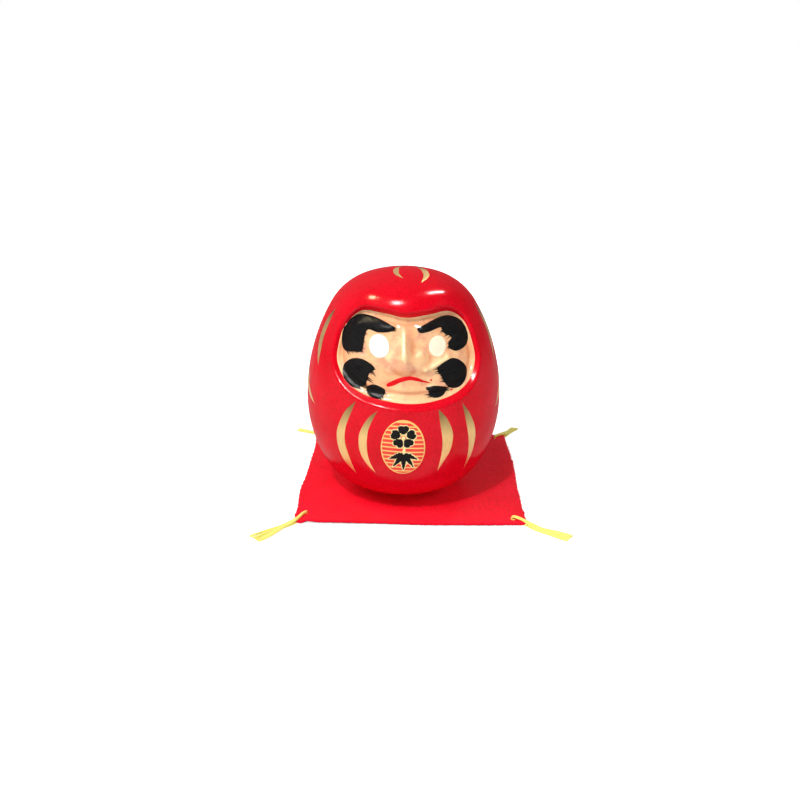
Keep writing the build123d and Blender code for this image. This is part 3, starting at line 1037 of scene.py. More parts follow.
RIGHT_CHIN = [
    (5.6, 42.0), (8.2, 42.6), (11.0, 42.0), (11.1, 40.4), (9.8, 39.4), (7.7, 39.2), (6.4, 39.8), (6.2, 41.0),
]
MOUTH = [
    (-5.9, 43.0), (-4.6, 43.9), (-2.5, 44.9), (0.2, 45.45), (2.6, 45.1), (4.8, 44.1), (6.8, 43.2),
    (4.6, 43.5), (2.6, 44.1), (0.6, 44.4), (-1.8, 43.8), (-4.0, 42.7), (-5.6, 42.4),
]
# Each mark: its outline, the way the brush was drawn, the teeth's reach and pitch, and the spans of
# its points that have teeth, with the way they lean at a span's start and end in degrees from +X.
BLACK_MARKS = {
    "brow_left": (
        LEFT_BROW, (0.8, -0.6), 1.7, 0.42,
        [(3.2, 4.8, -15, -10), (7.3, 9.4, -35, -45), (9.4, 11.0, -50, -60)],
    ),
    "brow_right": (
        RIGHT_BROW, (-0.95, -0.30), 1.4, 0.44, [(7.8, 12.2, 215, 200), (14.6, 15.9, 190, 170)],
    ),
    "cheek_whisker_left": (
        LEFT_CHEEK, (0.95, -0.30), 2.5, 0.46, [(3.2, 5.0, -40, -45), (5.0, 8.2, -35, -20)],
    ),
    "cheek_whisker_right": (
        RIGHT_CHEEK, (-0.95, -0.32), 2.4, 0.46, [(7.4, 9.3, 160, 175), (9.3, 11.4, 180, 210)],
    ),
    "chin_whisker_left": (
        LEFT_CHIN, (-0.75, -0.66), 1.2, 0.4, [(3.4, 4.8, -35, -50), (5.4, 8.4, 200, 165)],
    ),
    "chin_whisker_right": (
        RIGHT_CHIN, (-0.96, -0.28), 2.1, 0.42, [(1.8, 3.0, 0, -10), (5.2, 8.6, 190, 172)],
    ),
}


def ellipse(centre, half_width, half_height, count=72):
    """Outline of an ellipse."""
    turn = np.linspace(0, 2 * math.pi, count, endpoint=False)
    return np.stack([centre[0] + half_width * np.cos(turn), centre[1] + half_height * np.sin(turn)], 1)


BLACK_FILM = 0.16          # thickness of each paint above the face
EYE_FILM = 0.13
MOUTH_FILM = 0.15
SPECK_FILM = 0.1


def make_face_paint(rng):
    """Brows, whiskers, blank eyes, the mouth and two stray specks of red on the face."""
    black = black_paint()
    for name, (outline, stroke, reach, pitch, spans) in BLACK_MARKS.items():
        brushed_outline = toothed(outline, spans, reach, pitch, rng)
        paint_patch(name, brushed_outline, stroke, BLACK_FILM, black)
    white = white_paint("white_paint", (0.96, 0.95, 0.92))
    cream = white_paint("cream_paint", (0.88, 0.83, 0.63))
    left, right = ellipse((-7.9, 53.4), 2.8, 3.1), ellipse((8.9, 53.1), 2.5, 2.75)
    paint_patch("eye_left", left, (0, 1), EYE_FILM, white, 0.35)
    paint_patch("eye_right", right, (0, 1), EYE_FILM, cream, 0.35)
    red = mouth_paint()
    paint_patch("mouth", closed_curve(MOUTH, 16), (1, 0), MOUTH_FILM, red, 0.3)
    specks = {"mouth_speck": ((6.9, 44.1), 0.32, 0.28, 20), "cheek_speck": ((12.9, 40.7), 0.42, 0.18, 20)}
    for name, size in specks.items():
        paint_patch(name, ellipse(*size), (1, 0), SPECK_FILM, red, 0.2)


def open_curve(points, count):
    """Smooth curve through the points from the first to the last, evenly spaced by length."""
    points = np.asarray(points, float)
    padded = np.concatenate([2 * points[:1] - points[1:2], points, 2 * points[-1:] - points[-2:-1]])
    corners = [padded[k:len(padded) - 3 + k] for k in range(4)]
    curve = np.concatenate([spline_spans(*corners, SPAN_SAMPLES), points[-1:]])
    along = np.concatenate([[0], np.cumsum(np.linalg.norm(np.diff(curve, axis=0), axis=1))])
    even = np.linspace(0, along[-1], count)
    return np.stack([np.interp(even, along, curve[:, k]) for k in range(points.shape[1])], 1)


def as_space(points):
    """Points in x, y and height; two-number points are taken on the front of the egg."""
    points = np.asarray(points, float)
    return points if points.shape[1] == 3 else egg_front(points[:, 0], points[:, 1])[0]


GOLD_ACROSS = 14
GOLD_ALONG = 90


def gold_mark(name, outer, inner, material):
    """Pointed crescent of gold paint between an outer and an inner curve that share their ends."""
    outer = as_space(outer)
    inner = np.concatenate([outer[:1], as_space(inner), outer[-1:]])
    first, second = open_curve(outer, GOLD_ALONG), open_curve(inner, GOLD_ALONG)
    share = np.linspace(0, 1, GOLD_ACROSS)[None, :, None]
    flat = (first[:, None] * (1 - share) + second[:, None] * share).reshape(-1, 3)
    points, normals = egg_toward(unit_from_core(flat))
    surface = shell_surface(points, normals)
    u = np.repeat(np.linspace(0, 1, GOLD_ALONG), GOLD_ACROSS)
    v = np.tile(np.linspace(0, 1, GOLD_ACROSS), GOLD_ALONG)
    width = np.repeat(np.linalg.norm(first - second, axis=1), GOLD_ACROSS)
    rim = np.minimum(v, 1 - v) * width
    top = surface + normals * (-0.01 + 0.06 * smooth(-0.1, 0.3, rim))[:, None]
    bottom = surface - normals * 0.12
    faces = grid_faces(GOLD_ALONG, GOLD_ACROSS)
    corner = top[faces]
    turned = np.cross(corner[:, 1] - corner[:, 0], corner[:, 3] - corner[:, 0])
    if (turned * normals[faces[:, 0]]).sum() < 0:
        faces = faces[:, ::-1]
    solid, faces = closed_layer(top, bottom, faces.tolist())
    piece = doll_piece(name, solid, faces, material)
    float_attribute(piece, "across", np.tile(v * 2.0, 2))
    float_attribute(piece, "along", np.tile(u * 20.0, 2))
    return piece


# Gold crescents: outer curve, then the inner curve's points between the shared ends.
GOLD_MARKS = {
    "gold_front_left_outer": (
        [(-14.6, 38.2), (-17.9, 34.5), (-20.1, 29.4), (-20.7, 25.9),
         (-20.2, 21.4), (-18.4, 17.0), (-15.0, 13.4)],
        [(-16.6, 33.4), (-17.9, 29.5), (-18.3, 25.0), (-17.3, 20.1)],
    ),
    "gold_front_left_inner": (
        [(-8.4, 36.3), (-11.2, 33.7), (-13.5, 29.6), (-14.2, 26.0),
         (-13.7, 21.8), (-12.0, 18.3), (-9.2, 15.0)],
        [(-10.5, 32.2), (-11.5, 29.0), (-11.8, 24.5), (-11.2, 19.8)],
    ),
    "gold_front_right_inner": (
        [(8.7, 36.5), (11.2, 33.5), (12.9, 29.8), (13.4, 26.6), (12.7, 22.6), (11.0, 19.2), (9.0, 15.6)],
        [(9.5, 31.5), (10.2, 26.8), (10.1, 22.4)],
    ),
    "gold_front_right_outer": (
        [(15.8, 37.2), (18.3, 33.4), (20.1, 28.9), (20.6, 25.2), (20.2, 21.2), (19.2, 17.2), (17.4, 13.4)],
        [(17.5, 30.2), (18.4, 24.8), (18.5, 20.0)],
    ),
    "gold_crown_left": (
        [(0.6, 4.8, 70.9), (-2.1, 1.6, 71.0), (-3.2, -2.6, 70.9), (-2.6, -6.5, 70.5), (-0.4, -9.6, 69.9)],
        [(-1.2, 1.2, 71.0), (-1.5, -2.6, 71.0), (-1.5, -6.0, 70.6)],
    ),
    "gold_crown_right": (
        [(4.0, 4.0, 70.9), (6.6, 1.0, 70.6), (7.5, -3.8, 70.2), (6.8, -8.2, 69.7), (4.6, -12.2, 68.9)],
        [(4.9, 0.4, 70.8), (5.5, -3.0, 70.6), (5.6, -7.2, 70.1)],
    ),
    "gold_side_left": (
        [(-20.2, -8.6, 61.3), (-23.3, -6.6, 57.5), (-25.3, -7.1, 52.5),
         (-26.1, -9.3, 48.4), (-26.1, -12.2, 44.6)],
        [(-22.2, -9.3, 57.0), (-24.0, -9.9, 52.6), (-25.1, -11.2, 48.9)],
    ),
    "gold_side_right": (
        [(20.8, -5.6, 61.8), (24.2, -3.2, 57.6), (26.3, -3.6, 53.2), (27.0, -5.3, 49.6), (27.4, -8.8, 45.6)],
        [(22.8, -6.0, 57.6), (25.0, -6.4, 53.0), (26.3, -7.6, 49.4)],
    ),
    "gold_flank_left": (
        [(-28.6, -2.6, 42.6), (-29.6, -2.4, 39.2), (-29.7, -4.4, 36.2),
         (-29.0, -8.0, 34.0), (-27.2, -13.2, 32.6)],
        [(-28.9, -5.4, 39.6), (-28.8, -7.0, 36.8)],
    ),
    "gold_flank_right": (
        [(28.9, -4.4, 42.6), (30.0, -3.0, 39.2), (30.2, -4.6, 36.2), (29.6, -8.0, 33.4), (27.9, -12.6, 30.6)],
        [(29.3, -6.0, 39.6), (29.2, -7.6, 36.4)],
    ),
}


def make_gold():
    """The ten gold crescents of the belly, the crown and the sides."""
    material = gold_paint()
    for name, (outer, inner) in GOLD_MARKS.items():
        gold_mark(name, outer, inner, material)


# ---------------------------------------------------------------- belly label

LABEL_MIDDLE = (-1.3, 24.7)
LABEL_HALF = (6.4, 9.1)
PAPER = (0.02, 0.16)       # underside and top of each layer above the red surface
HALO_LAYER = (0.10, 0.185)
INK_LAYER = (0.12, 0.235)
HEART_LAYER = (0.12, 0.26)
LAYER_STEP = 0.004         # how much higher each overlapping shape lies than the one before it
MOTIF_SAMPLES = 10
HALO = 0.30                # width of the pale halo round the black shapes
LABEL_TILT = 0.052         # its printed lines drop to the viewer's right by this slope


def layer_on_belly(name, outline, low, high, material, slot, spacing=0.5):
    """Closed layer that follows the belly between two heights above the red surface."""
    flat, faces = triangulated(outline, spacing)
    points, normals = egg_front(flat[:, 0], flat[:, 1])
    surface = shell_surface(points, normals)
    gap = outline_gap(flat, outline)
    top = surface + normals * (low + (high - low) * (0.35 + 0.65 * smooth(0, 0.16, gap)))[:, None]
    bottom = surface + normals * low
    solid, faces = closed_layer(top, bottom, faces)
    piece = doll_piece(name, solid, faces, material)
    away = flat - np.array(LABEL_MIDDLE)
    float_attribute(piece, "label_x", np.tile(away[:, 0], 2))
    float_attribute(piece, "label_z", np.tile(away[:, 1] + LABEL_TILT * away[:, 0], 2))
    return piece


# Outlines of a petal and of a leaf: how far along, how far across
PETAL = [
    (0.22, 0.0), (0.45, 0.36), (0.80, 0.47), (1.05, 0.24), (1.0, 0.0), (1.05, -0.24), (0.80, -0.47),
    (0.45, -0.36),
]
LEAF = [
    (0.0, 0.0), (0.14, 0.7), (0.38, 1.0), (0.72, 0.62), (1.0, 0.0), (0.72, -0.50), (0.38, -0.95),
    (0.14, -0.7),
]


def blossom(centre, radius, petal):
    """Outline of one of a plum blossom's five round petals."""
    lean = math.radians(90 + 72 * petal)
    away = np.array([math.cos(lean), math.sin(lean)])
    side = np.array([-away[1], away[0]])
    return [tuple(np.array(centre) + radius * (a * away + b * side)) for a, b in PETAL]


def leaf(root, tip, width):
    """Outline of a brushed bamboo leaf from its root to its pointed tip."""
    root, tip = np.array(root), np.array(tip)
    along = tip - root
    side = np.array([-along[1], along[0]]) / np.linalg.norm(along) * width / 2
    return [tuple(root + a * along + b * side) for a, b in LEAF]


def motif_outlines():
    """Black brush shapes on the label: a plum blossom above and a spray of bamboo leaves below."""
    x, z = LABEL_MIDDLE
    flower = [blossom((x + 0.1, z + 3.8), 3.55, petal) for petal in range(5)]
    fork = (x + 0.2, z - 1.6)
    tips = [(-4.4, -3.6), (-3.1, -6.6), (0.1, -7.9), (3.2, -6.8), (4.5, -4.0)]
    leaves = [leaf(fork, (x + a, z + b), 1.85) for a, b in tips]
    stem = leaf((x + 0.35, z + 0.1), (x + 0.15, z - 2.4), 0.6)
    return flower, leaves + [stem]


def grown_outline(outline, amount):
    """Outline moved outwards by an amount, for the pale halo behind the black shapes."""
    curve = closed_curve(outline, MOTIF_SAMPLES)
    ahead = np.roll(curve, -2, 0) - np.roll(curve, 2, 0)
    area = np.sum(curve[:, 0] * np.roll(curve[:, 1], -1) - np.roll(curve[:, 0], -1) * curve[:, 1])
    side = np.stack([ahead[:, 1], -ahead[:, 0]], 1) * (1 if area > 0 else -1)
    side /= np.linalg.norm(side, axis=1, keepdims=True)
    return curve + side * amount


def make_label():
    """The oval paper label with its printed lines, plum blossom and bamboo leaves."""
    oval = ellipse(LABEL_MIDDLE, *LABEL_HALF, 120)
    paper = layer_on_belly("belly_label", oval, *PAPER, label_paper(), "label_paper")
    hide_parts("front_label")
    halo = white_paint("pale_print", (0.96, 0.78, 0.36))
    ink = black_paint()
    flower, spray = motif_outlines()
    for group, outlines in (("blossom", flower), ("leaf", spray)):
        for k, outline in enumerate(outlines):
            for part, shape, (low, high), material, slot in (
                (f"{group}_halo_{k}", grown_outline(outline, HALO), HALO_LAYER, halo, "label_paper"),
                (f"{group}_{k}", closed_curve(outline, MOTIF_SAMPLES), INK_LAYER, ink, "black_paint"),
            ):
                layer_on_belly(part, shape, low, high + LAYER_STEP * k, material, slot, 0.4)
    middle = (LABEL_MIDDLE[0] + 0.1, LABEL_MIDDLE[1] + 3.6)
    heart = ellipse(middle, 0.5, 0.5, 24)
    layer_on_belly("blossom_heart", heart, *HEART_LAYER, halo, "label_paper", 0.25)


# ---------------------------------------------------------------- felt mat and its tassels
# From here on millimetres are those of the whole set's frame.

MAT_HALF = (mat_high[0] - mat_low[0]) / 2 / MM
MAT_THICK = (mat_high[2] - mat_low[2]) / MM
MAT_CELLS = 168


def edge_push(place, jags, wave, phase):
    """Outward shift of one cut edge along its length: a slow wave and small torn steps."""
    push = wave * np.sin(place * 0.105 + phase) + 0.4 * wave * np.sin(place * 0.31 + 2.1 * phase)
    push += 0.05 * np.sin(place * 1.9 + phase) + 0.035 * np.sin(place * 4.3 + 3 * phase)
    for middle, width, height in jags:
        push += height * np.exp(-((place - middle) / width) ** 2)
    return push


# Torn places of each cut edge: where along it, half-width and height
FRONT_JAGS = [(-31.6, 1.2, -0.7), (33.2, 1.6, 0.25), (5.0, 32.0, 0.55)]
BACK_JAGS = [(33.5, 2.4, -0.7), (-33.0, 2.0, -0.4), (6.0, 5.0, 0.25)]
LEFT_JAGS = [(-30.0, 3.0, 0.45), (-16.0, 9.0, 0.7), (31.0, 3.0, 0.3)]
RIGHT_JAGS = [(-27.6, 0.9, 0.5), (-33.0, 3.0, 0.5), (9.9, 1.7, 0.4), (6.9, 1.2, 0.1), (26.0, 6.0, -0.2)]


EDGE_REACH = 9.0           # how far in from its edge the felt is shifted with it
CORNER_CUT = 0.28          # rounding of the mat's corners


def mat_plan(x, y):
    """Where a point of the square sheet lies once its uneven edges are counted."""
    right, left, back, front = [smooth(MAT_HALF - EDGE_REACH, MAT_HALF, side) for side in (x, -x, y, -y)]
    new_x = x + right * edge_push(y, RIGHT_JAGS, 0.22, 0.6) - left * edge_push(y, LEFT_JAGS, 0.2, 2.2)
    new_y = y + back * edge_push(x, BACK_JAGS, 0.22, 1.1) - front * edge_push(x, FRONT_JAGS, 0.12, 0.2)
    inwards = CORNER_CUT * smooth(2.4, 0.0, np.hypot(MAT_HALF - np.abs(x), MAT_HALF - np.abs(y)))
    return new_x - inwards * np.sign(x), new_y - inwards * np.sign(y)


# How far each tassel's hole lies inside the mat's sides, across and along
TASSEL_INSETS = {
    "tassel_front_left": (3.0, 5.6), "tassel_front_right": (4.0, 3.0),
    "tassel_rear_left": (3.6, 4.2), "tassel_rear_right": (4.0, 3.6),
}


def hole_places():
    """Hole of each tassel in the felt, measured inwards from the mat's corner."""
    places = {}
    for name, (inset_x, inset_y) in TASSEL_INSETS.items():
        side_x = -1 if "left" in name else 1
        side_y = -1 if "front" in name else 1
        places[name] = (side_x * (MAT_HALF - inset_x), side_y * (MAT_HALF - inset_y))
    return places


HOLES = hole_places()


def lifted(x, y):
    """How far the sheet stands off the table: a slack front edge and a turned-up rear right side."""
    front = smooth(-MAT_HALF + 5.5, -MAT_HALF, y)
    slack = 0.62 * bump(x, -30.2, 1.9) + 0.42 * smooth(-31.5, -26, x) * smooth(10, -24, x)
    lift = front * slack
    lift += 0.25 * smooth(MAT_HALF - 6, MAT_HALF, x) * bump(y, 9.0, 7.0)
    lift += 0.22 * smooth(MAT_HALF - 5, MAT_HALF, -x) * bump(y, -8.0, 12.0)
    lift += 0.15 * smooth(MAT_HALF - 5, MAT_HALF, y) * (1 + np.sin(x * 0.17))
    return lift


def corner_of(x, y):
    """The mat's corner on the side of a place."""
    return np.array([math.copysign(MAT_HALF, x), math.copysign(MAT_HALF, y)])


def mat_heights(x, y, rng):
    """Top and bottom of the felt over the sheet, with yarn dimples and the channels beneath."""
    away = np.minimum(MAT_HALF - np.abs(x), MAT_HALF - np.abs(y))
    rounding = 0.28 * (1 - smooth(0.0, 0.45, away))
    mound = 0.05 * np.sin(x * 0.55 + 1) * np.sin(y * 0.47) + 0.03 * np.sin(x * 1.3 + y * 0.9)
    calm = smooth(10.0, 24.0, np.hypot(x - doll_origin[0] / MM, y - doll_origin[1] / MM))
    lift = lifted(x, y)
    top = MAT_THICK - 0.06 + mound * calm + lift - rounding + rng.normal(0, 0.018, len(x))
    bottom = lift * 0.95 + rounding
    for hx, hy in HOLES.values():
        gap = np.hypot(x - hx, y - hy)
        top -= 0.45 * np.exp(-(gap / 0.75) ** 4)
        away = corner_of(hx, hy) - (hx, hy)
        along = away / np.linalg.norm(away)
        run = (x - hx) * along[0] + (y - hy) * along[1]
        off = np.abs((x - hx) * along[1] - (y - hy) * along[0])
        bottom += 0.5 * np.exp(-(off / 0.85) ** 4) * smooth(-0.8, 0.2, run) * (1 - bottom)
    return top, bottom


def make_mat(rng):
    """One closed sheet of felt with cut, slightly torn edges and loose fibres round them."""
    line = np.linspace(-MAT_HALF, MAT_HALF, MAT_CELLS + 1)
    x, y = [part.ravel() for part in np.meshgrid(line, line)]
    top_z, bottom_z = mat_heights(x, y, rng)
    px, py = mat_plan(x, y)
    top = np.stack([px, py, top_z], 1)
    bottom = np.stack([px, py, np.minimum(bottom_z, top_z - 0.3)], 1)
    row = MAT_CELLS + 1
    solid, faces = closed_layer(top, bottom, grid_faces(row, row).tolist())
    hairs, hair_faces = edge_fibres(px, py, (top_z + bottom_z) / 2, row, rng)
    faces += [[p + len(solid) for p in face] for face in hair_faces]
    mat = make_object("felt_sheet", np.concatenate([solid, hairs]) * MM, faces, felt(), 60)
    away = np.minimum(MAT_HALF - np.abs(x), MAT_HALF - np.abs(y))
    # painted shade for the felt: none on top, full on the underside at the edge and fading out 4 mm in, 0.3
    # on the loose fibres
    underside = np.concatenate([np.zeros(len(top)), smooth(4.0, 0.0, away), np.full(len(hairs), 0.3)])
    float_attribute(mat, "underside", underside)
    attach(mat, "mat")
    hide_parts("felt_mat")
    return mat


FIBRES_PER_SIDE = 330
FIBRE_RADIUS = 0.028


def edge_fibres(px, py, pz, row, rng):
    """Short loose hairs standing out of the cut edges."""
    index = np.arange(row)
    last = row - 1
    sides = [(index, (0, -1)), (index + row * last, (0, 1))]
    sides += [(index * row, (-1, 0)), (index * row + last, (1, 0))]
    points, faces = [], []
    for places, outwards in sides:
        for pick in rng.integers(1, row - 1, FIBRES_PER_SIDE):
            start = np.array([px[places[pick]], py[places[pick]], pz[places[pick]] + rng.uniform(-0.3, 0.42)])
            lean = np.array([outwards[0], outwards[1], 0.0]) + rng.normal(0, 0.55, 3)
            tube(points, faces, hair_line(start, lean / np.linalg.norm(lean), rng), FIBRE_RADIUS)
    return np.array(points), faces


def hair_line(start, lean, rng):
    """Four points of a short curved hair."""
    length = rng.uniform(0.2, 0.75)
    curl = rng.normal(0, 0.25, 3)
    line = [start + lean * length * s + curl * length * s * s for s in (-0.15, 0.3, 0.65, 1.0)]
    line = np.array(line)
    line[:, 2] = np.maximum(line[:, 2], 0.04)
    return line


def tube(points, faces, line, radius, sides=3, ends=0.35):
    """Adds a thin closed tube along a line of points, narrowing at its last point."""
    line = np.asarray(line)
    ahead = np.gradient(line, axis=0)
    ahead /= np.linalg.norm(ahead, axis=1, keepdims=True) + 1e-12
    upwards = np.where(np.abs(ahead[:, 2:3]) > 0.9, [[1.0, 0, 0]], [[0, 0, 1.0]])
    side = np.cross(ahead, upwards)
    side /= np.linalg.norm(side, axis=1, keepdims=True) + 1e-12
    other = np.cross(side, ahead)
    first = len(points)
    for k in range(len(line)):
        size = radius * (ends if k in (0, len(line) - 1) else 1.0)
        for turn in np.arange(sides) * 2 * math.pi / sides:
            points.append(line[k] + size * (math.cos(turn) * side[k] + math.sin(turn) * other[k]))
    for k in range(len(line) - 1):
        for j in range(sides):
            a, b = first + k * sides + j, first + k * sides + (j + 1) % sides
            faces.append([a, b, b + sides, a + sides])
    faces.append([first + j for j in range(sides)][::-1])
    faces.append([first + (len(line) - 1) * sides + j for j in range(sides)])


# Each tassel: how far its tail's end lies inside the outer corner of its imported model's box, where
# the tail bends, and the half-width of the fan at its end and start.
TAILS = {
    "tassel_front_left": dict(inset=(1.2, 0.55), bend=(-39.6, -39.2), fan=3.3, start=0.8),
    "tassel_front_right": dict(inset=(0.9, 0.8), bend=(38.6, -38.4), fan=2.5, start=1.2),
    "tassel_rear_left": dict(inset=(0.8, 5.4), bend=(-38.9, 37.2), fan=1.5, start=0.9),
    "tassel_rear_right": dict(inset=(2.1, 2.7), bend=(37.0, 38.3), fan=1.7, start=1.1),
}


def tail_end(name):
    """Where a tassel's tail ends on the table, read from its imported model's box."""
    low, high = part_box(name)
    inset_x, inset_y = TAILS[name]["inset"]
    x = low[0] / MM + inset_x if "left" in name else high[0] / MM - inset_x
    y = low[1] / MM + inset_y if "front" in name else high[1] / MM - inset_y
    return np.array([x, y])


STRANDS = 26
STATIONS = 46
STRAND_SIDES = 7
KNOT_HALF = 0.42           # half-width of the bundle where it passes through the felt
STRAND_RADIUS = 0.2


def tassel_routes(hole, corner, bend, end):
    """Middle lines of the strands that pass over the felt's corner and of those beneath it."""
    over = corner * (1 - 0.012) + (hole - corner) * 0.12
    upper = [(hole, 0.25), (hole * 0.999, MAT_THICK + 0.35), (hole * 0.55 + over * 0.45, MAT_THICK + 0.62)]
    upper += [(over, MAT_THICK + 0.42), (corner * 0.6 + bend * 0.4, 0.95), (bend, 0.62)]
    upper += [(bend * 0.5 + end * 0.5, 0.55), (end, 0.5)]
    lower = [(hole, 0.3), (hole * 0.6 + corner * 0.4, 0.3), (corner, 0.34)]
    lower += [(corner * 0.55 + bend * 0.45, 0.45), (bend, 0.5), (bend * 0.5 + end * 0.5, 0.5), (end, 0.45)]
    return [open_curve([(*place, z) for place, z in route], STATIONS) for route in (upper, lower)]


def make_tassel(name, rng):
    """Bundle of yarn strands threaded through the felt's corner, spreading into a loose tail."""
    spec = TAILS[name]
    hx, hy = HOLES[name]
    hole = np.array([hx, hy])
    end, bend = tail_end(name), np.array(spec["bend"])
    upper, lower = tassel_routes(hole, corner_of(hx, hy), bend, end)
    points, faces, across, along = [], [], [], []
    for k in range(STRANDS):
        over_felt = k % 2 == 0 or name == "tassel_rear_right" and k < 4
        line = upper if over_felt else lower
        from_hole = np.linalg.norm(line[:, :2] - hole, axis=1)
        far = from_hole / np.linalg.norm(end - hole)
        spread = spec["start"] + (spec["fan"] - spec["start"]) * smooth(0.35, 1.0, far)
        spread = np.where(far < 0.28, KNOT_HALF, spread)
        spread = np.convolve(np.pad(spread, 3, mode="edge"), np.ones(7) / 7, mode="valid")
        height = KNOT_HALF - 0.12 * smooth(0.5, 1.0, far)
        ahead = np.gradient(line, axis=0)
        side = np.stack([-ahead[:, 1], ahead[:, 0], np.zeros(len(line))], 1)
        side /= np.linalg.norm(side, axis=1, keepdims=True) + 1e-9
        offset = rng.uniform(-1, 1)
        rise = rng.uniform(-1, 1) * math.sqrt(max(1 - offset ** 2, 0))
        sway = 0.10 * np.sin(far * rng.uniform(4, 9) + rng.uniform(0, 6))
        place = line + side * ((offset + sway) * spread * 0.8)[:, None]
        place[:, 2] += rise * height * 0.75
        place[:, 2] = np.maximum(place[:, 2], STRAND_RADIUS + 0.02)
        reach = 1 - rng.uniform(0, 0.045)
        stop = np.linalg.norm(end - hole) * reach
        keep = max(int(np.searchsorted(np.maximum.accumulate(from_hole), stop)), 10)
        tube(points, faces, place[:keep], STRAND_RADIUS * rng.uniform(0.8, 1.2), STRAND_SIDES, ends=0.75)
        across += list(np.tile(np.linspace(0, 1.7, STRAND_SIDES), keep) + k * 3.1)
        along += list(np.repeat(np.linspace(0, 18, keep), STRAND_SIDES) + k * 1.7)
    piece = make_object(name + "_yarn", np.array(points) * MM, faces, yarn(), 70)
    float_attribute(piece, "across", across)
    float_attribute(piece, "along", along)
    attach(piece, "mat")
    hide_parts(name)
    return piece


# ---------------------------------------------------------------- camera, light and floor

LENS = 40.14               # millimetres on a 36 mm sensor
CAMERA_PLACE = (0.95, -274.14, 128.45)
CAMERA_PITCH = 20.27       # degrees below level
CAMERA_YAW = 0.93          # degrees to the left of straight along +Y
CAMERA_ROLL = 0.07


def make_camera():
    """Camera at the photograph's viewing angle."""
    camera = bpy.data.objects.new("camera", bpy.data.cameras.new("camera"))
    bpy.context.collection.objects.link(camera)
    camera.data.lens = LENS
    camera.data.sensor_width = 36
    camera.data.clip_start = 0.01
    camera.location = Vector(CAMERA_PLACE) * MM
    turns = (90 - CAMERA_PITCH, CAMERA_ROLL, CAMERA_YAW)
    camera.rotation_euler = tuple(math.radians(turn) for turn in turns)
    bpy.context.scene.camera = camera


DOLL_MIDDLE = (0, 0, 30)


def lamp(name, place, aim, size, power, colour=(1, 1, 1), lights=True, mirrored=True, tall=1.0):
    """Area light in millimetres; it may leave out its light on things or its reflection."""
    light = bpy.data.lights.new(name, "AREA")
    light.shape = "RECTANGLE"
    light.size = size * MM
    light.size_y = size * tall * MM
    light.energy = power
    light.color = colour
    holder = bpy.data.objects.new(name, light)
    bpy.context.collection.objects.link(holder)
    holder.location = Vector(place) * MM
    holder.rotation_euler = (Vector(aim) - Vector(place)).to_track_quat("-Z", "Y").to_euler()
    holder.visible_diffuse = lights
    holder.visible_glossy = mirrored


DIFFUSE_SKY = 0.22         # brightness of the surroundings as light on things
REFLECTED_BACK = 0.15      # brightness of their reflection, strongest at the back
REFLECTED_LEFT = 0.42      # and at the left


def make_world():
    """White surroundings seen directly, dim as light, and reflected mostly from the back and left."""
    world = bpy.data.worlds.new("world")
    bpy.context.scene.world = world
    world.use_nodes = True
    tree = world.node_tree
    background = tree.nodes["Background"]
    place = tree.nodes.new("ShaderNodeTexCoord")
    split = tree.nodes.new("ShaderNodeSeparateXYZ")
    tree.links.new(place.outputs["Generated"], split.inputs["Vector"])
    sides = []
    for axis, start, end, strength in (("Y", -0.6, 0.8, REFLECTED_BACK), ("X", 0.5, -1.0, REFLECTED_LEFT)):
        spread = tree.nodes.new("ShaderNodeMapRange")
        set_inputs(spread, From_Min=start, From_Max=end, To_Min=0.0, To_Max=strength)
        tree.links.new(split.outputs[axis], spread.inputs["Value"])
        sides.append(spread.outputs["Result"])
    path = tree.nodes.new("ShaderNodeLightPath")
    glossy = math_node(tree, "MULTIPLY", math_node(tree, "ADD", *sides), path.outputs["Is Glossy Ray"])
    soft = math_node(tree, "MULTIPLY", path.outputs["Is Diffuse Ray"], DIFFUSE_SKY)
    lit = math_node(tree, "ADD", glossy, soft)
    strength = math_node(tree, "MAXIMUM", path.outputs["Is Camera Ray"], lit)
    tree.links.new(strength, background.inputs["Strength"])
    background.inputs["Color"].default_value = (1, 1, 1, 1)


FLOOR_SIDE = 6             # metres
FLOOR_GAP = 0.00002
FLOOR_GREY = 0.93


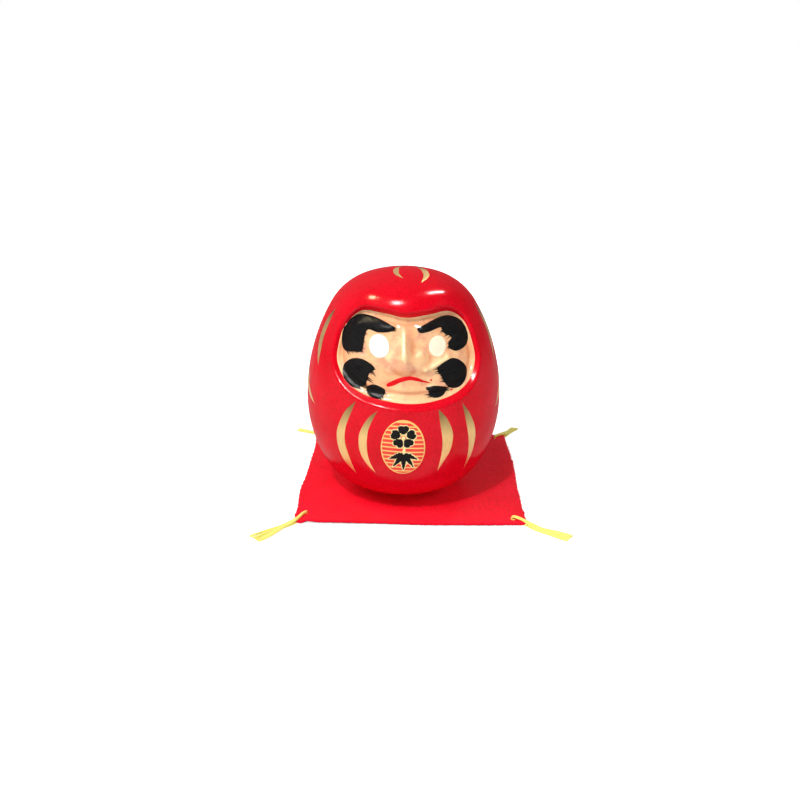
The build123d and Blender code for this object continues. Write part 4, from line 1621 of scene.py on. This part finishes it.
def make_floor():
    """Pale floor that looks evenly white to the camera beyond the object's own shadow."""
    bpy.ops.mesh.primitive_plane_add(size=FLOOR_SIDE, location=(0, 0, mat_low[2] - FLOOR_GAP))
    floor = bpy.context.object
    floor.name = "floor"
    material, tree, shader = new_material("floor")
    set_inputs(shader, Base_Color=(FLOOR_GREY, FLOOR_GREY, FLOOR_GREY, 1), Roughness=0.7)
    place = tree.nodes.new("ShaderNodeTexCoord")
    away = tree.nodes.new("ShaderNodeVectorMath")
    away.operation = "LENGTH"
    tree.links.new(place.outputs["Object"], away.inputs[0])
    glow = tree.nodes.new("ShaderNodeMapRange")
    set_inputs(glow, From_Min=0.09, From_Max=0.35, To_Min=0.75, To_Max=1.0)
    tree.links.new(away.outputs["Value"], glow.inputs["Value"])
    path = tree.nodes.new("ShaderNodeLightPath")
    shown = math_node(tree, "MULTIPLY", glow.outputs["Result"], path.outputs["Is Camera Ray"])
    tree.links.new(shown, shader.inputs["Emission Strength"])
    set_inputs(shader, Emission_Color=(1, 1, 1, 1))
    floor.data.materials.append(material)


make_camera()
make_world()
make_floor()
lamp("left", (-300, -160, 400), DOLL_MIDDLE, 220, 1.08, mirrored=False)
lamp("right", (369, -134, 305), DOLL_MIDDLE, 150, 0.42, mirrored=False)
lamp("front", (0, -393, 305), DOLL_MIDDLE, 150, 0.12, mirrored=False)
lamp("above", (-42, -236, 446), DOLL_MIDDLE, 80, 0.22, mirrored=False)
lamp("key", (-110, -310, 430), DOLL_MIDDLE, 24, 1.25, mirrored=False)
lamp("glint_back", (209, 170, 462), (7, -22, 69), 56, 3.9, lights=False, tall=3.2)
lamp("glint_front", (-76, -224, 499), (-4, -27, 67), 64, 4.2, lights=False, tall=1.8)
lamp("glint_left", (-280, -25, 466), (-11, -25, 67), 68, 2.8, (1.0, 0.85, 0.5), lights=False, tall=1.5)
make_shell()
make_face()
make_face_paint(np.random.default_rng(11))
make_gold()
make_label()
felt_sheet = make_mat(np.random.default_rng(21))
tassels = [make_tassel(name, np.random.default_rng(31 + k)) for k, name in enumerate(TAILS)]
bpy.data.objects["base_weight"].material_slots[0].material = base_paint()

bpy.context.scene.view_settings.view_transform = "Standard"
